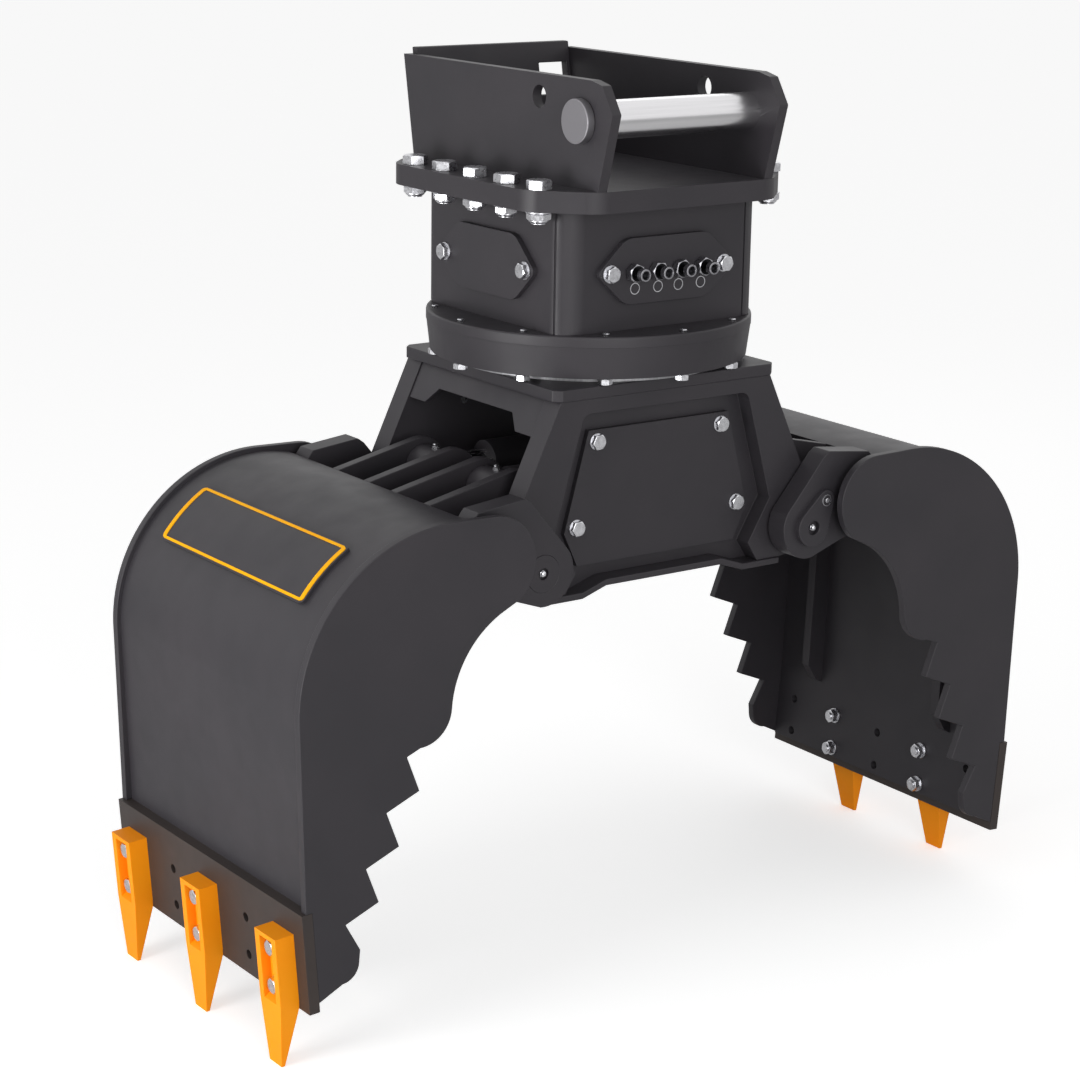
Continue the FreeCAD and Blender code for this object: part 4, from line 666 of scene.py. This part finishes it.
def rolled_band(name, body, material, inner, outer, low, high, half_y, corner, hole=None):
    """Plate rolled about the centre of the left jaw's back, between two angles, with an optional hole."""
    steps = BAND_STEPS
    work = bmesh.new()

    def point(radius, angle, y):
        turn = math.radians(180 - angle)
        spot = BACK_CENTRE + Vector((radius * math.cos(turn), y, radius * math.sin(turn)))
        return work.verts.new(spot * MM)

    def half_at(i):
        """Half width at a row: the four corners are rounded."""
        long = math.radians(high - low) * outer
        past = max(corner - min(i, steps - i) / steps * long, 0.0)
        return half_y - corner + math.sqrt(corner * corner - past * past)

    def grid(radius):
        return [[point(radius, low + (high - low) * i / steps, half_at(i) * (2 * j / steps - 1))
                 for j in range(steps + 1)] for i in range(steps + 1)]

    top_grid, low_grid = grid(outer), grid(inner)
    kept = set()
    for i in range(steps):
        for j in range(steps):
            if hole is None or not hole(i, j, steps):
                kept.add((i, j))
    for i, j in kept:
        a, b, c, d = (i, j), (i + 1, j), (i + 1, j + 1), (i, j + 1)
        work.faces.new([top_grid[p][q] for p, q in (a, b, c, d)])
        work.faces.new([low_grid[p][q] for p, q in (d, c, b, a)])
        sides = (((a, b), (i, j - 1)), ((b, c), (i + 1, j)), ((c, d), (i, j + 1)), ((d, a), (i - 1, j)))
        for (p, q), beside in sides:
            if beside not in kept:
                work.faces.new([low_grid[p[0]][p[1]], low_grid[q[0]][q[1]],
                                top_grid[q[0]][q[1]], top_grid[p[0]][p[1]]])
    loose = [v for v in work.verts if not v.link_faces]
    bmesh.ops.delete(work, geom=loose, context="VERTS")
    bmesh.ops.recalc_face_normals(work, faces=work.faces)
    mesh = bpy.data.meshes.new(name)
    work.to_mesh(mesh)
    work.free()
    for face in mesh.polygons:
        face.use_smooth = True
    mesh.set_sharp_from_angle(angle=math.radians(35))
    return as_piece(name, mesh, body, material)


def inside_border(i, j, steps):
    """The cells that the border leaves open: all but two rows and one column at each edge."""
    return 2 <= i < steps - 2 and 1 <= j < steps - 1


plate = rolled_band("name_plate", "left_jaw", graphite, 213.9, 218.5, 35.5, 60.5, 187, 9.0)
border = rolled_band("name_plate_border", "left_jaw", border_enamel, 218.4, 219.4, 36.2, 59.8, 184, 7.0,
                     inside_border)

# Stage: pale floor, white surround and soft boxes
FLOOR_HALF = 30


def pale_floor():
    """Large pale sheet that keeps the part's shadow; it is a little brighter to the camera alone."""
    material = bpy.data.materials.new("pale_floor")
    material.use_nodes = True
    tree = material.node_tree
    shader = tree.nodes["Principled BSDF"]
    shader.inputs["Base Color"].default_value = paint("#f4f4f4")
    shader.inputs["Roughness"].default_value = 0.9
    shader.inputs["Specular IOR Level"].default_value = 0.0
    shader.inputs["Emission Color"].default_value = (1, 1, 1, 1)
    rays = add_node(tree, "ShaderNodeLightPath")
    seen = add_node(tree, "ShaderNodeMath", {"operation": "MULTIPLY"}, {0: rays.outputs["Is Camera Ray"]})
    seen.inputs[1].default_value = 0.53
    tree.links.new(seen.outputs["Value"], shader.inputs["Emission Strength"])
    h = FLOOR_HALF
    mesh = bpy.data.meshes.new("floor")
    mesh.from_pydata([(-h, -h, 0), (h, -h, 0), (h, h, 0), (-h, h, 0)], [], [(0, 1, 2, 3)])
    mesh.materials.append(material)
    floor = bpy.data.objects.new("floor", mesh)
    bpy.context.scene.collection.objects.link(floor)


def white_surround():
    """World that is white to the camera and in reflections, and lights the part less than that."""
    world = bpy.data.worlds.new("surround")
    bpy.context.scene.world = world
    world.use_nodes = True
    tree = world.node_tree
    back = tree.nodes["Background"]
    rays = add_node(tree, "ShaderNodeLightPath")
    seen = add_node(tree, "ShaderNodeMath", {"operation": "MAXIMUM"})
    tree.links.new(rays.outputs["Is Camera Ray"], seen.inputs[0])
    tree.links.new(rays.outputs["Is Glossy Ray"], seen.inputs[1])
    back.inputs["Color"].default_value = (1, 1, 1, 1)
    strength = add_node(tree, "ShaderNodeMapRange", {"To Min": 0.45, "To Max": 1.0},
                        {"Value": seen.outputs[0]})
    tree.links.new(strength.outputs["Result"], back.inputs["Strength"])


pale_floor()
white_surround()


def soft_box(name, place, aim, size, watts):
    """Rectangular lamp at a place in metres, turned to face the aim."""
    data = bpy.data.lights.new(name, "AREA")
    data.shape = "RECTANGLE"
    data.size, data.size_y = size
    data.energy = watts
    lamp = bpy.data.objects.new(name, data)
    turned = (Vector(aim) - Vector(place)).to_track_quat("-Z", "Y").to_matrix().to_4x4()
    lamp.matrix_world = Matrix.Translation(place) @ turned
    bpy.context.scene.collection.objects.link(lamp)


soft_box("key", (-1.2, -3.6, 1.4), (0, 0, 0.6), (1.8, 1.8), 46)
soft_box("left_fill", (-3.2, -0.4, 0.3), (0, 0, 0.3), (1.2, 1.8), 85)
soft_box("rim", (2.4, 2.2, 2.8), (0, 0, 0.8), (1.2, 1.2), 3)

# Camera: the photograph's angle, roll and perspective
CAMERA_AT = (-2.2054, -2.9857, 1.5512)
AZIMUTH, ELEVATION, ROLL = (math.radians(a) for a in (35.5, 15.0, 0.9))
reach = math.cos(ELEVATION)
forward = Vector((math.sin(AZIMUTH) * reach, math.cos(AZIMUTH) * reach, -math.sin(ELEVATION)))
level = Vector((math.cos(AZIMUTH), -math.sin(AZIMUTH), 0))
upward = level.cross(forward)
right = level * math.cos(ROLL) + upward * math.sin(ROLL)
top = right.cross(forward)
view = bpy.data.cameras.new("view")
view.lens = 91.02
view.sensor_width = 36
view.clip_end = 100
camera = bpy.data.objects.new("camera", view)
turn = Matrix((right, top, -forward)).transposed().to_4x4()
camera.matrix_world = Matrix.Translation(CAMERA_AT) @ turn
bpy.context.scene.collection.objects.link(camera)
bpy.context.scene.camera = camera
bpy.context.scene.view_settings.view_transform = "Standard"
